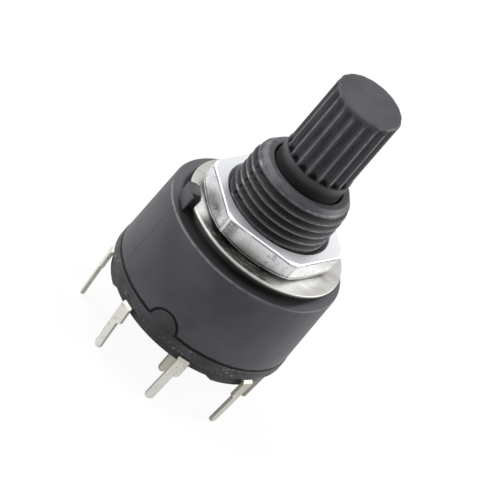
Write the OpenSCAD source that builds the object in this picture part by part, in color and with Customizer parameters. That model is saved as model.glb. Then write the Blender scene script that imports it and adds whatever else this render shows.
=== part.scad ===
// Panel-mount rotary switch: one pole, eight positions, splined shaft, solder or board terminals.
// Millimetres. The origin is on the shaft's axis at the seat that meets the panel, +Z along the shaft.

/* [Body] */
// Diameter of the moulded body at its seam with the base
body_d = 16.2; // [15.7:0.02:22]
// Height of the body from its seam to its top face
body_h = 7.1; // [6.7:0.1:12]
// Draft of the body's side, in degrees
body_draft = 1; // [0:0.5:3.5]
// Rounding of the body's top edge
body_edge = 0.3; // [0.1:0.05:0.5]
// Thickness of the wall at the seam
wall = 1.05; // [0.8:0.05:1.3]
// Thickness of the roof over the works
roof_t = 1.3; // [1:0.1:1.6]
// Diameter of the raised seat that meets the panel
seat_d = 12.8; // [11.4:0.1:14]
// Height of the raised seat over the body's top face
seat_h = 0.7; // [0.4:0.05:1]

/* [Locating key] */
// Width of the outer face of the key that stops the washer from turning
key_w = 2; // [1.6:0.1:2.4]
// How much narrower the key is behind its outer face, all on one side
key_step = 0.65; // [0.2:0.05:0.8]
// Thickness of the key's outer face where it is the wider
key_face = 0.2; // [0.15:0.05:0.4]
// Length of the key, outwards from the axis
key_l = 1.05; // [0.8:0.05:1.2]
// Gap between the nut's widest circle under its chamfer and the key
key_gap = 0.9; // [0.85:0.01:1.1]
// Height of the key over the seat
key_h = 0.8; // [0.5:0.05:0.85]
// Direction of the key round the axis, in degrees
key_angle = -163; // [-180:1:180]

/* [Bushing] */
// Diameter over the bushing's thread
thread_d = 8.9; // [8:0.05:10.6]
// Height of the bushing over the seat
bushing_h = 6.6; // [5:0.1:8]
// Height of the plain cone at the bushing's tip
tip_h = 0.6; // [0.2:0.05:1]
// How far the bushing narrows from its thread to its end
tip_w = 0.66; // [0.4:0.02:0.8]
// Height over which the last of the thread tapers
lead_h = 0.7; // [0.3:0.05:1]
// How far the last of the thread tapers
lead_w = 0.2; // [0.05:0.01:0.3]
// How much wider than the shaft's bore its mouth is, all round
mouth_w = 0.2; // [0.05:0.01:0.25]
// Depth of the bore's wider mouth
mouth_h = 1.2; // [0.5:0.1:2]

/* [Shaft] */
// Height of the shaft's end over the seat
shaft_h = 15.05; // [12:0.05:30]
// Diameter over the splines
spline_d = 6; // [5:0.05:6.3]
// Number of grooves
spline_n = 18; // [12:1:24]
// Depth of a groove
groove_depth = 0.32; // [0.15:0.01:0.4]
// Width of a groove's floor
groove_floor = 0.12; // [0.05:0.01:0.2]
// Angle between a groove's two sides, in degrees
groove_angle = 80; // [60:5:90]
// How far the grooves run down into the journal
groove_runout = 0.3; // [0:0.05:0.6]
// Chamfer at the shaft's end
shaft_chamfer = 0.28; // [0.05:0.01:0.4]
// Diameter of the journal that turns in the bushing
journal_d = 6.1; // [6.05:0.05:7.5]
// Height of the journal over the bushing
journal_rise = 1.75; // [1:0.05:3]
// How far the shaft's collar stands out of the journal
collar_w = 1.35; // [0.8:0.05:1.35]
// Thickness of the shaft's collar
collar_t = 0.8; // [0.5:0.05:1.2]
// Width across the flats of the square drive
square_af = 4.2; // [3.6:0.05:4.6]
// Diameter of the pilot at the shaft's tail
pilot_d = 2.5; // [2:0.05:2.6]

/* [Nut and washer] */
// Width of the nut across its flats
nut_af = 11; // [10.6:0.1:13]
// Thickness of the nut
nut_t = 2.1; // [1.5:0.05:3]
// Diameter of the nut's chamfered face, which lies on the washer
nut_face_d = 10.66; // [10:0.02:11]
// Diameter of the nut's upper face
nut_top_d = 11.9; // [11:0.05:12]
// How far the nut's corners are cut back
nut_corner = 0.2; // [0.05:0.05:0.3]
// Angle of the nut's chamfers, in degrees
nut_chamfer = 30; // [15:5:45]
// Direction of one of the nut's corners, in degrees
nut_angle = -7.3; // [-30:0.1:30]
// Outer diameter of the washer
washer_d = 14.2; // [13.8:0.05:15.2]
// Thickness of the washer
washer_t = 0.3; // [0.2:0.05:0.6]
// How far off the axis the loose washer lies, away from the key
washer_shift = 0.27; // [0:0.01:0.3]
// Gap between the washer's hole and the thread, all round before the shift
washer_gap = 0.32; // [0.3:0.01:0.4]
// Gap between the key's inner face and the floor of the washer's notch
notch_gap = 0.28; // [0.22:0.01:0.5]
// Gap between the washer's notch and the key's side
notch_side = 0.8; // [0.2:0.05:1]
// How far the notch's other side flares
notch_flare = 1.5; // [1.3:0.1:2]

/* [Base] */
// Diameter of the base's flange
flange_d = 16.3; // [15.8:0.02:22]
// Thickness of the flange
flange_t = 0.9; // [0.6:0.05:1.5]
// How far the block under the flange is set back
block_inset = 0.5; // [0.3:0.05:0.9]
// Height of the block under the flange
block_h = 0.9; // [0.7:0.05:2]
// Height of the feet
foot_h = 0.3; // [0.2:0.05:1]
// Width of the feet, inwards from the block's side
foot_w = 0.9; // [0.5:0.05:1.5]
// Height of the spigot that enters the body
spigot_h = 0.5; // [0.3:0.05:0.8]
// Width of the spigot outside the terminals
base_rim = 0.67; // [0.5:0.01:1]
// Radius of the two half-round lugs on the seam
lug_r = 1.27; // [0.8:0.01:1.4]

/* [Terminals] */
// Thickness of the terminals' strip
term_t = 0.3; // [0.2:0.02:0.4]
// Width of a terminal's upper part
shoulder_w = 1.06; // [0.8:0.02:1.3]
// Width of a terminal's pin
tail_w = 0.73; // [0.5:0.01:0.8]
// Length of a pin under the base's feet
pin_len = 4.25; // [3:0.05:8]
// How far the upper part reaches under the base's feet
shoulder_len = 0.75; // [0.2:0.05:1.5]
// Height of the slanted step between upper part and pin
step_h = 0.3; // [0.1:0.05:0.5]
// How far the terminals' outer faces stand out of the flange
pin_offset = 0.05; // [0.05:0.01:0.5]
// Outer radius of a terminal's bend
bend_r = 0.45; // [0.4:0.01:0.7]
// Gap between the flange and the terminals that come out under it
strip_drop = 0.15; // [0.05:0.01:0.3]
// Inward lean of the pins, in degrees
lean = 4; // [0:0.5:6]
// Inward lean of the two pins beside the front lug, in degrees
lean_front = 8; // [0:0.5:9]
// Direction of the common terminal, in degrees
common_angle = -80; // [-100:1:-55]

/* [Contacts] */
// Length of a contact pad, outwards from the axis
pad_l = 1.6; // [1.2:0.1:2]
// Width of a contact pad
pad_w = 1.9; // [1.2:0.1:2.4]
// Gap between the common ring and the contact pads
track_gap = 1; // [0.6:0.1:1.2]
// Thickness of the wiper's sheet
wiper_t = 0.2; // [0.1:0.02:0.25]
// Height of the wiper's plate over the contacts
wiper_rise = 1.1; // [0.8:0.05:1.4]
// Width of the outer arm
arm_w = 1; // [0.6:0.05:1.2]
// Run of each arm from its root to its contact point
arm_run = 1.5; // [1:0.05:1.6]
// Width of each of the two inner fingers
finger_w = 0.5; // [0.3:0.05:0.6]
// Gap between the two inner fingers
finger_gap = 0.25; // [0.15:0.05:0.4]

/* [Detent] */
// Diameter of the detent balls
ball_d = 2; // [1.4:0.05:2.4]
// Thickness of the detent ring inside the wall
ring_t = 0.57; // [0.5:0.01:0.8]
// Depth of a detent notch
notch_depth = 0.45; // [0.3:0.01:0.5]
// Radius of a detent notch
notch_r = 2.4; // [2.2:0.05:2.6]
// Gap between the contact carrier and the detent ring
carrier_gap = 0.25; // [0.15:0.01:0.4]
// Wall between a ball's pocket and the square bore
pocket_wall = 0.65; // [0.4:0.05:0.8]
// Diameter of the detent springs' wire
wire_d = 0.2; // [0.12:0.02:0.24]
// Turns of a detent spring
spring_turns = 4; // [3:1:5]
// Width of the carrier's stop lug, in degrees
stop_w = 20; // [14:1:24]
// Free angle left between the stop lug and the body's rib at each end, in degrees
stop_play = 0.5; // [0.2:0.1:1]

/* [Fits] */
// Gap round each turning journal
run_gap = 0.05; // [0.03:0.01:0.08]
// Gap round pieces that are fitted into each other
fit_gap = 0.05; // [0.02:0.01:0.08]

/* [Hidden] */
$fn = 96;
// small overlap that carries a cut past a face
over = 0.5;

// the switch's positions: the terminals stand one step apart, and position 1 is at first_angle
positions = 8;
step_angle = 360 / positions;
first_angle = 135;
// the two lugs on the seam, and half the angle that each leaves open between the feet
lug_angles = [-112.5, 67.5];
foot_clear = 40;
// gap between a lug's face and the body's side
lug_inset = 0.03;
// turn of the first groove of the spline, as a share of a groove's pitch
groove_phase = 0.135;
// how far the pilot's end stays inside the base
pilot_recess = 0.3;
// how far under the key the notch's flared side starts
notch_tuck = 0.3;

// heights
top_z = -seat_h;
roof_z = top_z - roof_t;
seam_z = top_z - body_h;
base_top_z = seam_z + spigot_h;
flange_z = seam_z - flange_t;
block_z = flange_z - block_h;
foot_z = block_z - foot_h;
tip_z = foot_z - pin_len;
strip_z = flange_z - strip_drop;
collar_top_z = roof_z - run_gap;
collar_z = collar_top_z - collar_t;
carrier_top_z = collar_z - run_gap;
wiper_z = base_top_z + wiper_rise;
carrier_z = wiper_z + wiper_t;
carrier_h = carrier_top_z - carrier_z;
ball_z = carrier_z + carrier_h / 2;
spline_z = bushing_h + journal_rise;

// radii
body_r = body_d / 2;
cavity_r = body_r - wall;
crest_r = cavity_r - ring_t;
notch_floor_r = crest_r + notch_depth;
carrier_r = crest_r - carrier_gap;
journal_r = journal_d / 2;
bore_r = journal_r + run_gap;
collar_r = journal_r + collar_w;
spline_r = spline_d / 2;
thread_r = thread_d / 2;
pilot_hole_r = pilot_d / 2 + run_gap;
spigot_r = cavity_r - fit_gap;
block_r = flange_d / 2 - block_inset;
pin_r = flange_d / 2 + pin_offset;
riser_r = spigot_r - base_rim;
pad_r = riser_r - term_t - pad_l;
track_r = pad_r + pad_l / 2;
common_out_r = pad_r - track_gap;
common_margin = 0.4;
common_in_r = pilot_hole_r + common_margin;
common_r = (common_in_r + common_out_r) / 2;
// the common pin stands just inside its ring's edge
common_inset = 0.1;
common_pin_r = common_out_r - common_inset;
key_r = nut_face_d / 2 + key_gap;

// the detent: balls at right angles to the stop lug, which points at the wiper's arm
ball_r = ball_d / 2;
ball_gap = 0.03;
ball_rest_r = crest_r - ball_gap - ball_r;
pocket_r = ball_r + fit_gap;
pocket_floor_r = square_af / 2 + fit_gap + pocket_wall;
ball_angles = [first_angle - 90, first_angle + 90];
// the spring's coil is smaller than its ball, and seats against it with a hair of play
coil_inset = 0.2;
coil_r = ball_r - coil_inset;
coil_play = 0.02;
// how far the notched ring reaches under the balls
ring_reach = 0.35;

// the body's rib stops the lug one step short of a full turn
stop_lug_h = collar_t - fit_gap;
rib_w = step_angle - stop_w - 2 * stop_play;
rib_angle = first_angle - step_angle / 2;
rib_gap = 0.3;
rib_in_r = collar_r + rib_gap;
lug_gap = 0.1;
lug_in_r = rib_in_r + lug_gap;

// the wiper
plate_inset = 1.6;
plate_r = carrier_r - plate_inset;
peg_r = 0.45;
peg_at = (pilot_hole_r + plate_r) / 2 + 0.25;
peg_head_w = 0.2;
peg_head_t = 0.15;
peg_gap = 0.02;
arm_slot = 0.25;
// half the flat at an arm's contact point, and its lifted tip
contact_flat = 0.06;
arm_tip = 0.4;
arm_lift = 0.3;
arm_z = wiper_z + wiper_t / 2;
contact_z = base_top_z + fit_gap + wiper_t / 2;

plastic = "#26272a";
shaft_plastic = "#303135";
phenolic = "#2b2622";
nickel = "#d6d5d0";
zinc = "#e4e4e2";
tin = "#d8d4c8";
bronze = "#c08a52";
steel = "#b9bcc0";

// ---- housing ----

// half of the housing's outline, turned about the axis
module housing_outline() {
    edge_z = top_z - body_edge;
    edge_r = body_r - (edge_z - seam_z) * tan(body_draft) - body_edge / cos(body_draft);
    polygon(concat(
        [[0, seam_z], [body_r, seam_z]],
        [for (i = [0:6]) let (a = body_draft + i * (90 - body_draft) / 6)
            [edge_r + body_edge * cos(a), edge_z + body_edge * sin(a)]],
        [
            [seat_d / 2, top_z],
            [seat_d / 2, 0],
            [thread_r, 0],
            [thread_r, bushing_h - tip_h - lead_h],
            [thread_r - lead_w, bushing_h - tip_h],
            [thread_r - tip_w, bushing_h],
            [0, bushing_h]
        ]
    ));
}

// seen from above, the key is an L: a wide outer face, and a narrower block behind it
module locating_key() {
    foot = top_z - roof_t / 2;
    rotate(key_angle)
        translate([key_r, -key_w / 2, foot])
            linear_extrude(key_h - foot)
                polygon([
                    [0, 0],
                    [key_l, 0],
                    [key_l, key_w],
                    [key_l - key_face, key_w],
                    [key_l - key_face, key_w - key_step],
                    [0, key_w - key_step]
                ]);
}

// the rib that hangs from the roof and stops the carrier's lug
module stop_rib() {
    rotate_extrude(start = rib_angle - rib_w / 2, angle = rib_w)
        translate([rib_in_r, roof_z - collar_t])
            square([cavity_r + over - rib_in_r, collar_t + over]);
}

// the hollow for the works: a plain lower part, and the detent ring's notched part over it
module works_cavity() {
    ring_z = ball_z - ball_r - ring_reach;
    translate([0, 0, seam_z - over])
        cylinder(r = cavity_r, h = ring_z - seam_z + over);
    difference() {
        translate([0, 0, ring_z - over])
            linear_extrude(roof_z - ring_z + over)
                union() {
                    circle(r = crest_r);
                    for (i = [0:positions - 1])
                        rotate(first_angle + i * step_angle)
                            translate([notch_floor_r - notch_r, 0])
                                circle(r = notch_r);
                }
        stop_rib();
    }
}

// a half-round lug, upright in the plane across direction a, from radius r0 to radius r1
module half_round(a, r, r0, r1) {
    rotate([90, 0, a + 90])
        translate([0, seam_z, r0])
            linear_extrude(r1 - r0)
                intersection() {
                    circle(r = r);
                    translate([-r, -over])
                        square([2 * r, r + over]);
                }
}

module housing() {
    color(plastic)
    difference() {
        union() {
            rotate_extrude() housing_outline();
            locating_key();
        }
        works_cavity();
        translate([0, 0, roof_z - over])
            cylinder(r = bore_r, h = bushing_h - roof_z + 2 * over);
        translate([0, 0, bushing_h - mouth_h])
            cylinder(r = bore_r + mouth_w, h = mouth_h + over);
        for (a = lug_angles)
            half_round(a, lug_r + fit_gap, cavity_r - over, body_r + over);
    }
}

// ---- shaft ----

module shaft_outline() {
    polygon([
        [0, block_z + pilot_recess],
        [pilot_d / 2, block_z + pilot_recess],
        [pilot_d / 2, collar_z],
        [collar_r, collar_z],
        [collar_r, collar_top_z],
        [journal_r, collar_top_z],
        [journal_r, spline_z],
        [spline_r, spline_z],
        [spline_r, shaft_h - shaft_chamfer],
        [spline_r - shaft_chamfer, shaft_h],
        [0, shaft_h]
    ]);
}

module square_bar(af, h) {
    translate([-af / 2, -af / 2, 0])
        cube([af, af, h]);
}

module spline_grooves() {
    depth = groove_depth + journal_r - spline_r + over;
    half = groove_floor / 2 + depth * tan(groove_angle / 2);
    translate([0, 0, spline_z - groove_runout])
        for (i = [0:spline_n - 1])
            rotate((i + groove_phase) * 360 / spline_n)
                translate([spline_r - groove_depth, 0, 0])
                    linear_extrude(shaft_h - spline_z + groove_runout + over)
                        polygon([
                            [0, -groove_floor / 2],
                            [depth, -half],
                            [depth, half],
                            [0, groove_floor / 2]
                        ]);
}

module shaft() {
    color(shaft_plastic)
    difference() {
        union() {
            rotate_extrude() shaft_outline();
            rotate(first_angle)
                translate([0, 0, carrier_z])
                    square_bar(square_af, collar_z - carrier_z + collar_t / 2);
        }
        spline_grooves();
    }
}

// ---- nut and washer ----

module hex_nut() {
    slope = tan(nut_chamfer);
    corner_r = nut_af / 2 / cos(30) - nut_corner;
    color(zinc)
    translate([0, 0, washer_t])
    difference() {
        intersection() {
            rotate(nut_angle)
                cylinder(r = nut_af / 2 / cos(30), h = nut_t, $fn = 6);
            rotate_extrude()
                polygon([
                    [0, 0],
                    [nut_face_d / 2, 0],
                    [corner_r, (corner_r - nut_face_d / 2) * slope],
                    [corner_r, nut_t - (corner_r - nut_top_d / 2) * slope],
                    [nut_top_d / 2, nut_t],
                    [0, nut_t]
                ]);
        }
        translate([0, 0, -over])
            cylinder(r = thread_r + run_gap, h = nut_t + 2 * over);
    }
}

// the washer's notch: its floor lies across the key's inner face, one side is straight and one flares
module washer_notch() {
    floor_x = key_r - notch_gap;
    far_x = washer_d / 2 + over;
    near_y = -key_w / 2 - notch_side;
    far_y = key_w / 2 - key_step - notch_tuck;
    linear_extrude(washer_t + 2 * over)
        polygon([
            [floor_x, near_y],
            [far_x, near_y],
            [far_x, far_y + notch_flare * (far_x - floor_x)],
            [floor_x, far_y]
        ]);
}

module keyed_washer() {
    color(nickel)
    rotate(key_angle)
        difference() {
            translate([-washer_shift, 0, 0])
                cylinder(d = washer_d, h = washer_t);
            translate([-washer_shift, 0, -over])
                cylinder(r = thread_r + washer_gap, h = washer_t + 2 * over);
            translate([0, 0, -over])
                washer_notch();
        }
}

// ---- terminals ----

// the direction of terminal n, counted from 1 in the order of the shaft's positions
function term_angle(n) = first_angle + (n - 1) * step_angle;
// the two terminals beside the front lug lean further in
function term_lean(n) = n == 3 || n == 4 ? lean_front : lean;
// the side of the pin's step changes half way round
function step_side(n) = n <= positions / 2 ? 1 : -1;

function arc(cx, cz, r, a0, a1) =
    [for (i = [0:6]) let (a = a0 + i * (a1 - a0) / 6) [cx + r * cos(a), cz + r * sin(a)]];

// an outer terminal from the side: pad, riser, strip, bend and leaning pin
module term_side(lean_angle) {
    bend_x = pin_r - bend_r;
    bend_z = strip_z - bend_r;
    end_z = tip_z - over;
    shift = (bend_z - end_z) * tan(lean_angle);
    polygon(concat(
        [[pad_r, base_top_z], [riser_r, base_top_z], [riser_r, strip_z]],
        arc(bend_x, bend_z, bend_r, 90, 0),
        [[pin_r - shift, end_z], [pin_r - shift - term_t, end_z]],
        arc(bend_x, bend_z, bend_r - term_t, 0, 90),
        [
            [riser_r - term_t, strip_z - term_t],
            [riser_r - term_t, base_top_z - term_t],
            [pad_r, base_top_z - term_t]
        ]
    ));
}

// the blank that a terminal is cut to: a head, a wide upper part, a step at one edge, a round-ended pin
module pin_outline(side, head_w) {
    step_z = foot_z - shoulder_len;
    head_z = base_top_z - term_t;
    half = shoulder_w / 2;
    head = [
        [-half, head_z],
        [-head_w / 2, head_z],
        [-head_w / 2, base_top_z + over],
        [head_w / 2, base_top_z + over],
        [head_w / 2, head_z],
        [half, head_z]
    ];
    mirror([side > 0 ? 0 : 1, 0])
        polygon(concat(
            head_w > shoulder_w ? head : [[-half, base_top_z + over], [half, base_top_z + over]],
            [[half, step_z], [tail_w - half, step_z - step_h]],
            arc(tail_w / 2 - half, tip_z + tail_w / 2, tail_w / 2, 0, -180)
        ));
}

module outer_terminal(n) {
    rotate(term_angle(n))
        intersection() {
            rotate([90, 0, 0])
                linear_extrude(pad_w + over, center = true)
                    term_side(term_lean(n));
            rotate([90, 0, 90])
                linear_extrude(pin_r + over)
                    pin_outline(step_side(n), pad_w);
        }
}

module terminal(n) {
    color(tin) outer_terminal(n);
}

// the common contact: a ring flush with the base's top, and a straight pin down from near its edge
module common_ring(h) {
    translate([0, 0, base_top_z - term_t])
        difference() {
            cylinder(r = common_out_r, h = h);
            translate([0, 0, -over])
                cylinder(r = common_in_r, h = h + 2 * over);
        }
}

module common_contact() {
    common_ring(term_t);
    rotate(common_angle)
        intersection() {
            translate([common_pin_r - term_t, -pad_w / 2, tip_z - over])
                cube([term_t, pad_w, base_top_z - tip_z + over - term_t / 2]);
            rotate([90, 0, 90])
                linear_extrude(common_out_r + over)
                    pin_outline(1, shoulder_w);
        }
}

module common_terminal() {
    color(tin) common_contact();
}

// ---- base ----

module base_outline() {
    polygon([
        [0, base_top_z],
        [spigot_r, base_top_z],
        [spigot_r, seam_z],
        [flange_d / 2, seam_z],
        [flange_d / 2, flange_z],
        [block_r, flange_z],
        [block_r, foot_z],
        [block_r - foot_w, foot_z],
        [block_r - foot_w, block_z],
        [0, block_z]
    ]);
}

// the gaps below the lugs that part the rim under the block into two feet
module foot_gaps() {
    reach = 2 * block_r;
    for (a = lug_angles)
        rotate(a)
            translate([0, 0, foot_z - over])
                linear_extrude(foot_h + over)
                    polygon([
                        [0, 0],
                        [reach * cos(foot_clear), -reach * sin(foot_clear)],
                        [reach * cos(foot_clear), reach * sin(foot_clear)]
                    ]);
}

// a slab across direction a, from radius r0 to r1 and height z0 to z1
module slab(a, w, r0, r1, z0, z1) {
    rotate(a)
        translate([r0, -w / 2, z0])
            cube([r1 - r0, w, z1 - z0]);
}

// the room in the base that an outer terminal's pad, riser and strip fill
module terminal_seat(n) {
    a = term_angle(n);
    low_z = strip_z - term_t;
    slab(a, pad_w, pad_r, riser_r, base_top_z - term_t, base_top_z + over);
    slab(a, shoulder_w, riser_r - term_t, riser_r, low_z, base_top_z);
    slab(a, shoulder_w, riser_r - term_t, pin_r, low_z, strip_z);
}

module base_plate() {
    color(phenolic)
    difference() {
        union() {
            rotate_extrude() base_outline();
            intersection() {
                for (a = lug_angles)
                    half_round(a, lug_r, spigot_r - over, body_r);
                translate([0, 0, seam_z - over])
                    cylinder(r = body_r - lug_inset, h = lug_r + 2 * over);
            }
        }
        translate([0, 0, foot_z - over])
            cylinder(r = pilot_hole_r, h = base_top_z - foot_z + 2 * over);
        foot_gaps();
        for (n = [1:positions])
            terminal_seat(n);
        common_ring(term_t + over);
        slab(common_angle, shoulder_w, common_pin_r - term_t, common_pin_r, foot_z - over, base_top_z - term_t / 2);
    }
}

// ---- contact carrier, wiper and detent ----

// the radial pocket that holds a ball and its spring
module ball_pocket(a) {
    rotate(a)
        translate([pocket_floor_r, 0, ball_z])
            rotate([0, 90, 0])
                cylinder(r = pocket_r, h = carrier_r);
}

// two pegs, headed over under the wiper
module wiper_pegs() {
    for (a = [-90, 90])
        rotate(first_angle + a)
            translate([peg_at, 0, 0]) {
                translate([0, 0, wiper_z - peg_head_t])
                    cylinder(r = peg_r + peg_head_w, h = peg_head_t);
                translate([0, 0, wiper_z - peg_head_t / 2])
                    cylinder(r = peg_r, h = wiper_t + peg_head_t);
            }
}

module contact_carrier() {
    color(phenolic)
    difference() {
        union() {
            translate([0, 0, carrier_z])
                cylinder(r = carrier_r, h = carrier_h);
            rotate_extrude(start = first_angle - stop_w / 2, angle = stop_w)
                translate([lug_in_r, carrier_top_z - over])
                    square([carrier_r - lug_in_r, stop_lug_h + over]);
            wiper_pegs();
        }
        rotate(first_angle)
            translate([0, 0, carrier_z - over])
                square_bar(square_af + 2 * fit_gap, carrier_h + 2 * over);
        for (a = ball_angles)
            ball_pocket(a);
    }
}

// a strip of the wiper's sheet that follows a bent line, seen from the side
module bent_strip(line, width) {
    upper = [for (p = line) [p[0], p[1] + wiper_t / 2]];
    lower = [for (i = [len(line) - 1:-1:0]) [line[i][0], line[i][1] - wiper_t / 2]];
    rotate([90, 0, 0])
        linear_extrude(width, center = true)
            polygon(concat(upper, lower));
}

// the line of a sprung arm: root in the plate, slope down to the contact point, lifted tip
function arm_line(at) = [
    [at - arm_run - arm_tip, arm_z],
    [at - arm_run, arm_z],
    [at - contact_flat, contact_z],
    [at + contact_flat, contact_z],
    [at + arm_tip, contact_z + arm_lift]
];

module wiper() {
    fingers_w = 2 * finger_w + finger_gap;
    color(bronze)
    rotate(first_angle)
    union() {
        translate([0, 0, wiper_z])
            linear_extrude(wiper_t)
                difference() {
                    circle(r = plate_r);
                    circle(r = common_in_r);
                    translate([track_r - arm_run, -arm_w / 2 - arm_slot])
                        square([plate_r, arm_w + 2 * arm_slot]);
                    translate([-common_r - arm_run, -fingers_w / 2 - arm_slot])
                        square([common_r + arm_run, fingers_w + 2 * arm_slot]);
                    for (y = [-peg_at, peg_at])
                        translate([0, y])
                            circle(r = peg_r + peg_gap);
                }
        bent_strip(arm_line(track_r), arm_w);
        for (side = [-1, 1])
            translate([0, side * (finger_w + finger_gap) / 2, 0])
                bent_strip(arm_line(-common_r), finger_w);
    }
}

module detent_ball(i) {
    color(steel)
    rotate(ball_angles[i])
        translate([ball_rest_r, 0, ball_z])
            sphere(r = ball_r);
}

// a compression spring along X from x0 to x1, as a round wire swept along a helix
module coil_spring(x0, x1) {
    sides = 6;
    per_turn = 14;
    rings = spring_turns * per_turn;
    points = [for (i = [0:rings]) for (j = [0:sides - 1])
        let (
            a = i * 360 / per_turn,
            b = j * 360 / sides,
            r = coil_r + wire_d / 2 * cos(b)
        )
        [x0 + (x1 - x0) * i / rings + wire_d / 2 * sin(b), r * cos(a), r * sin(a)]];
    walls = [for (i = [0:rings - 1]) for (j = [0:sides - 1])
        let (k = (j + 1) % sides)
        [i * sides + j, i * sides + k, (i + 1) * sides + k, (i + 1) * sides + j]];
    start_cap = [[for (j = [sides - 1:-1:0]) j]];
    end_cap = [[for (j = [0:sides - 1]) rings * sides + j]];
    polyhedron(points = points, faces = concat(walls, start_cap, end_cap));
}

// the spring reaches from its pocket's floor to the ball
module detent_spring(i) {
    wire_r = wire_d / 2;
    ball_face = ball_rest_r - sqrt(pow(ball_r + wire_r, 2) - pow(coil_r, 2)) - coil_play;
    color(steel)
    rotate(ball_angles[i])
        translate([0, 0, ball_z])
            coil_spring(pocket_floor_r + wire_r + 0.01, ball_face);
}

housing();
shaft();
hex_nut();
keyed_washer();
base_plate();
terminal(1);  // terminal_1
terminal(2);  // terminal_2
terminal(3);  // terminal_3
terminal(4);  // terminal_4
terminal(5);  // terminal_5
terminal(6);  // terminal_6
terminal(7);  // terminal_7
terminal(8);  // terminal_8
common_terminal();
contact_carrier();
wiper();
detent_ball(0);  // detent_ball_1
detent_ball(1);  // detent_ball_2
detent_spring(0);  // detent_spring_1
detent_spring(1);  // detent_spring_2
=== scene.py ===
from math import acos, asin, atan2, ceil, cos, degrees, floor, hypot, pi, radians, sin, sqrt, tan

import bmesh
import bpy
from mathutils import Matrix, Vector


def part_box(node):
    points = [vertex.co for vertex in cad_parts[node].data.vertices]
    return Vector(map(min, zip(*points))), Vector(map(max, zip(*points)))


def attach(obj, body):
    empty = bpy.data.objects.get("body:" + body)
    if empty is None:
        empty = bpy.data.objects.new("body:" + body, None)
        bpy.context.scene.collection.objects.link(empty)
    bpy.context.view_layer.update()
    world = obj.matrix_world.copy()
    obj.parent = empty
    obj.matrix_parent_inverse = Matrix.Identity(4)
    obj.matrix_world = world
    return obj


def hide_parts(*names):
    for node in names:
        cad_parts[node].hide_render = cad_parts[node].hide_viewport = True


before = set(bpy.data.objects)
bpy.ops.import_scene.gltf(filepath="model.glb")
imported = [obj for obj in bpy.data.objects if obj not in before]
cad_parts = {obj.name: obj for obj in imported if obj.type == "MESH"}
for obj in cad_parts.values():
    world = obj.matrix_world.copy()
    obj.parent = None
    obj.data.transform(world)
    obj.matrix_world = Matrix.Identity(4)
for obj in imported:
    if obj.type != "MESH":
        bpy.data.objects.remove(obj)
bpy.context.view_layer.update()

# Looks of a panel-mount rotary switch. Sizes are in millimetres until a mesh is finished, the
# shaft's axis is Z, and angles go round it in degrees. The masks' ranges hold where a mask starts
# and is full, with four numbers also where it fades and ends, or else a middle and the distances
# from it at which the mask is full and gone.
mm = 0.001


def nodeBox(name):
    low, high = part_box(name)
    return low / mm, high / mm


def linear(red, green, blue):  # screen colour 0 to 255 to linear light
    shares = [c / 255 for c in (red, green, blue)]
    return tuple(c / 12.92 if c < 0.04045 else ((c + 0.055) / 1.055) ** 2.4 for c in shares) + (1.0,)


class Wire:  # a socket that takes Python arithmetic
    def __init__(self, tree, socket):
        self.tree = tree
        self.socket = socket

    def calc(self, operation, *values):
        return self.tree.add("ShaderNodeMath", {"operation": operation}, dict(enumerate(values)))

    def __add__(self, other):
        return self.calc("ADD", self, other)

    def __radd__(self, other):
        return self.calc("ADD", other, self)

    def __sub__(self, other):
        return self.calc("SUBTRACT", self, other)

    def __rsub__(self, other):
        return self.calc("SUBTRACT", other, self)

    def __mul__(self, other):
        return self.calc("MULTIPLY", self, other)

    def __rmul__(self, other):
        return self.calc("MULTIPLY", other, self)

    def __truediv__(self, other):
        return self.calc("DIVIDE", self, other)

    def __rtruediv__(self, other):
        return self.calc("DIVIDE", other, self)

    def __pow__(self, other):
        return self.calc("POWER", self, other)

    def __abs__(self):
        return self.calc("ABSOLUTE", self)

    def least(self, other):
        return self.calc("MINIMUM", self, other)

    def most(self, other):
        return self.calc("MAXIMUM", self, other)

    def ramp(self, low, high):  # 0 below low, 1 above high, smooth between
        return self.tree.add("ShaderNodeMapRange", {"interpolation_type": "SMOOTHSTEP"},
                             dict(enumerate((self, low, high, 0.0, 1.0))))

    def drop(self, low, high):  # 1 below low, 0 above high
        return 1 - self.ramp(low, high)

    def between(self, start, full, fading, end):  # 1 from full to fading, 0 before start and past end
        return self.ramp(start, full) * self.drop(fading, end)

    def near(self, middle, full, gone):  # 1 within full of the middle, 0 beyond gone
        return abs(self - middle).drop(full, gone)

    def besides(self):  # every output of its node, by name
        return {s.name: Wire(self.tree, s) for s in self.socket.node.outputs}


class Tree:  # a node tree in which every node comes from add
    def __init__(self, nodeTree):
        self.nodeTree = nodeTree

    def plug(self, target, value):
        if isinstance(value, Wire):
            self.nodeTree.links.new(value.socket, target)
        else:
            target.default_value = value

    def add(self, kind, settings=None, values=None, out=0):  # sockets go by name or number
        node = self.nodeTree.nodes.new(kind)
        for name, value in (settings or {}).items():
            setattr(node, name, value)
        for name, value in (values or {}).items():
            self.plug(node.inputs[name], value)
        return Wire(self, node.outputs[out]) if node.outputs else None

    def split(self, vector):  # the three numbers of a vector
        return list(self.add("ShaderNodeSeparateXYZ", None, {"Vector": vector}).besides().values())

    def joined(self, x, y, z):
        return self.add("ShaderNodeCombineXYZ", None, {"X": x, "Y": y, "Z": z})


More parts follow.
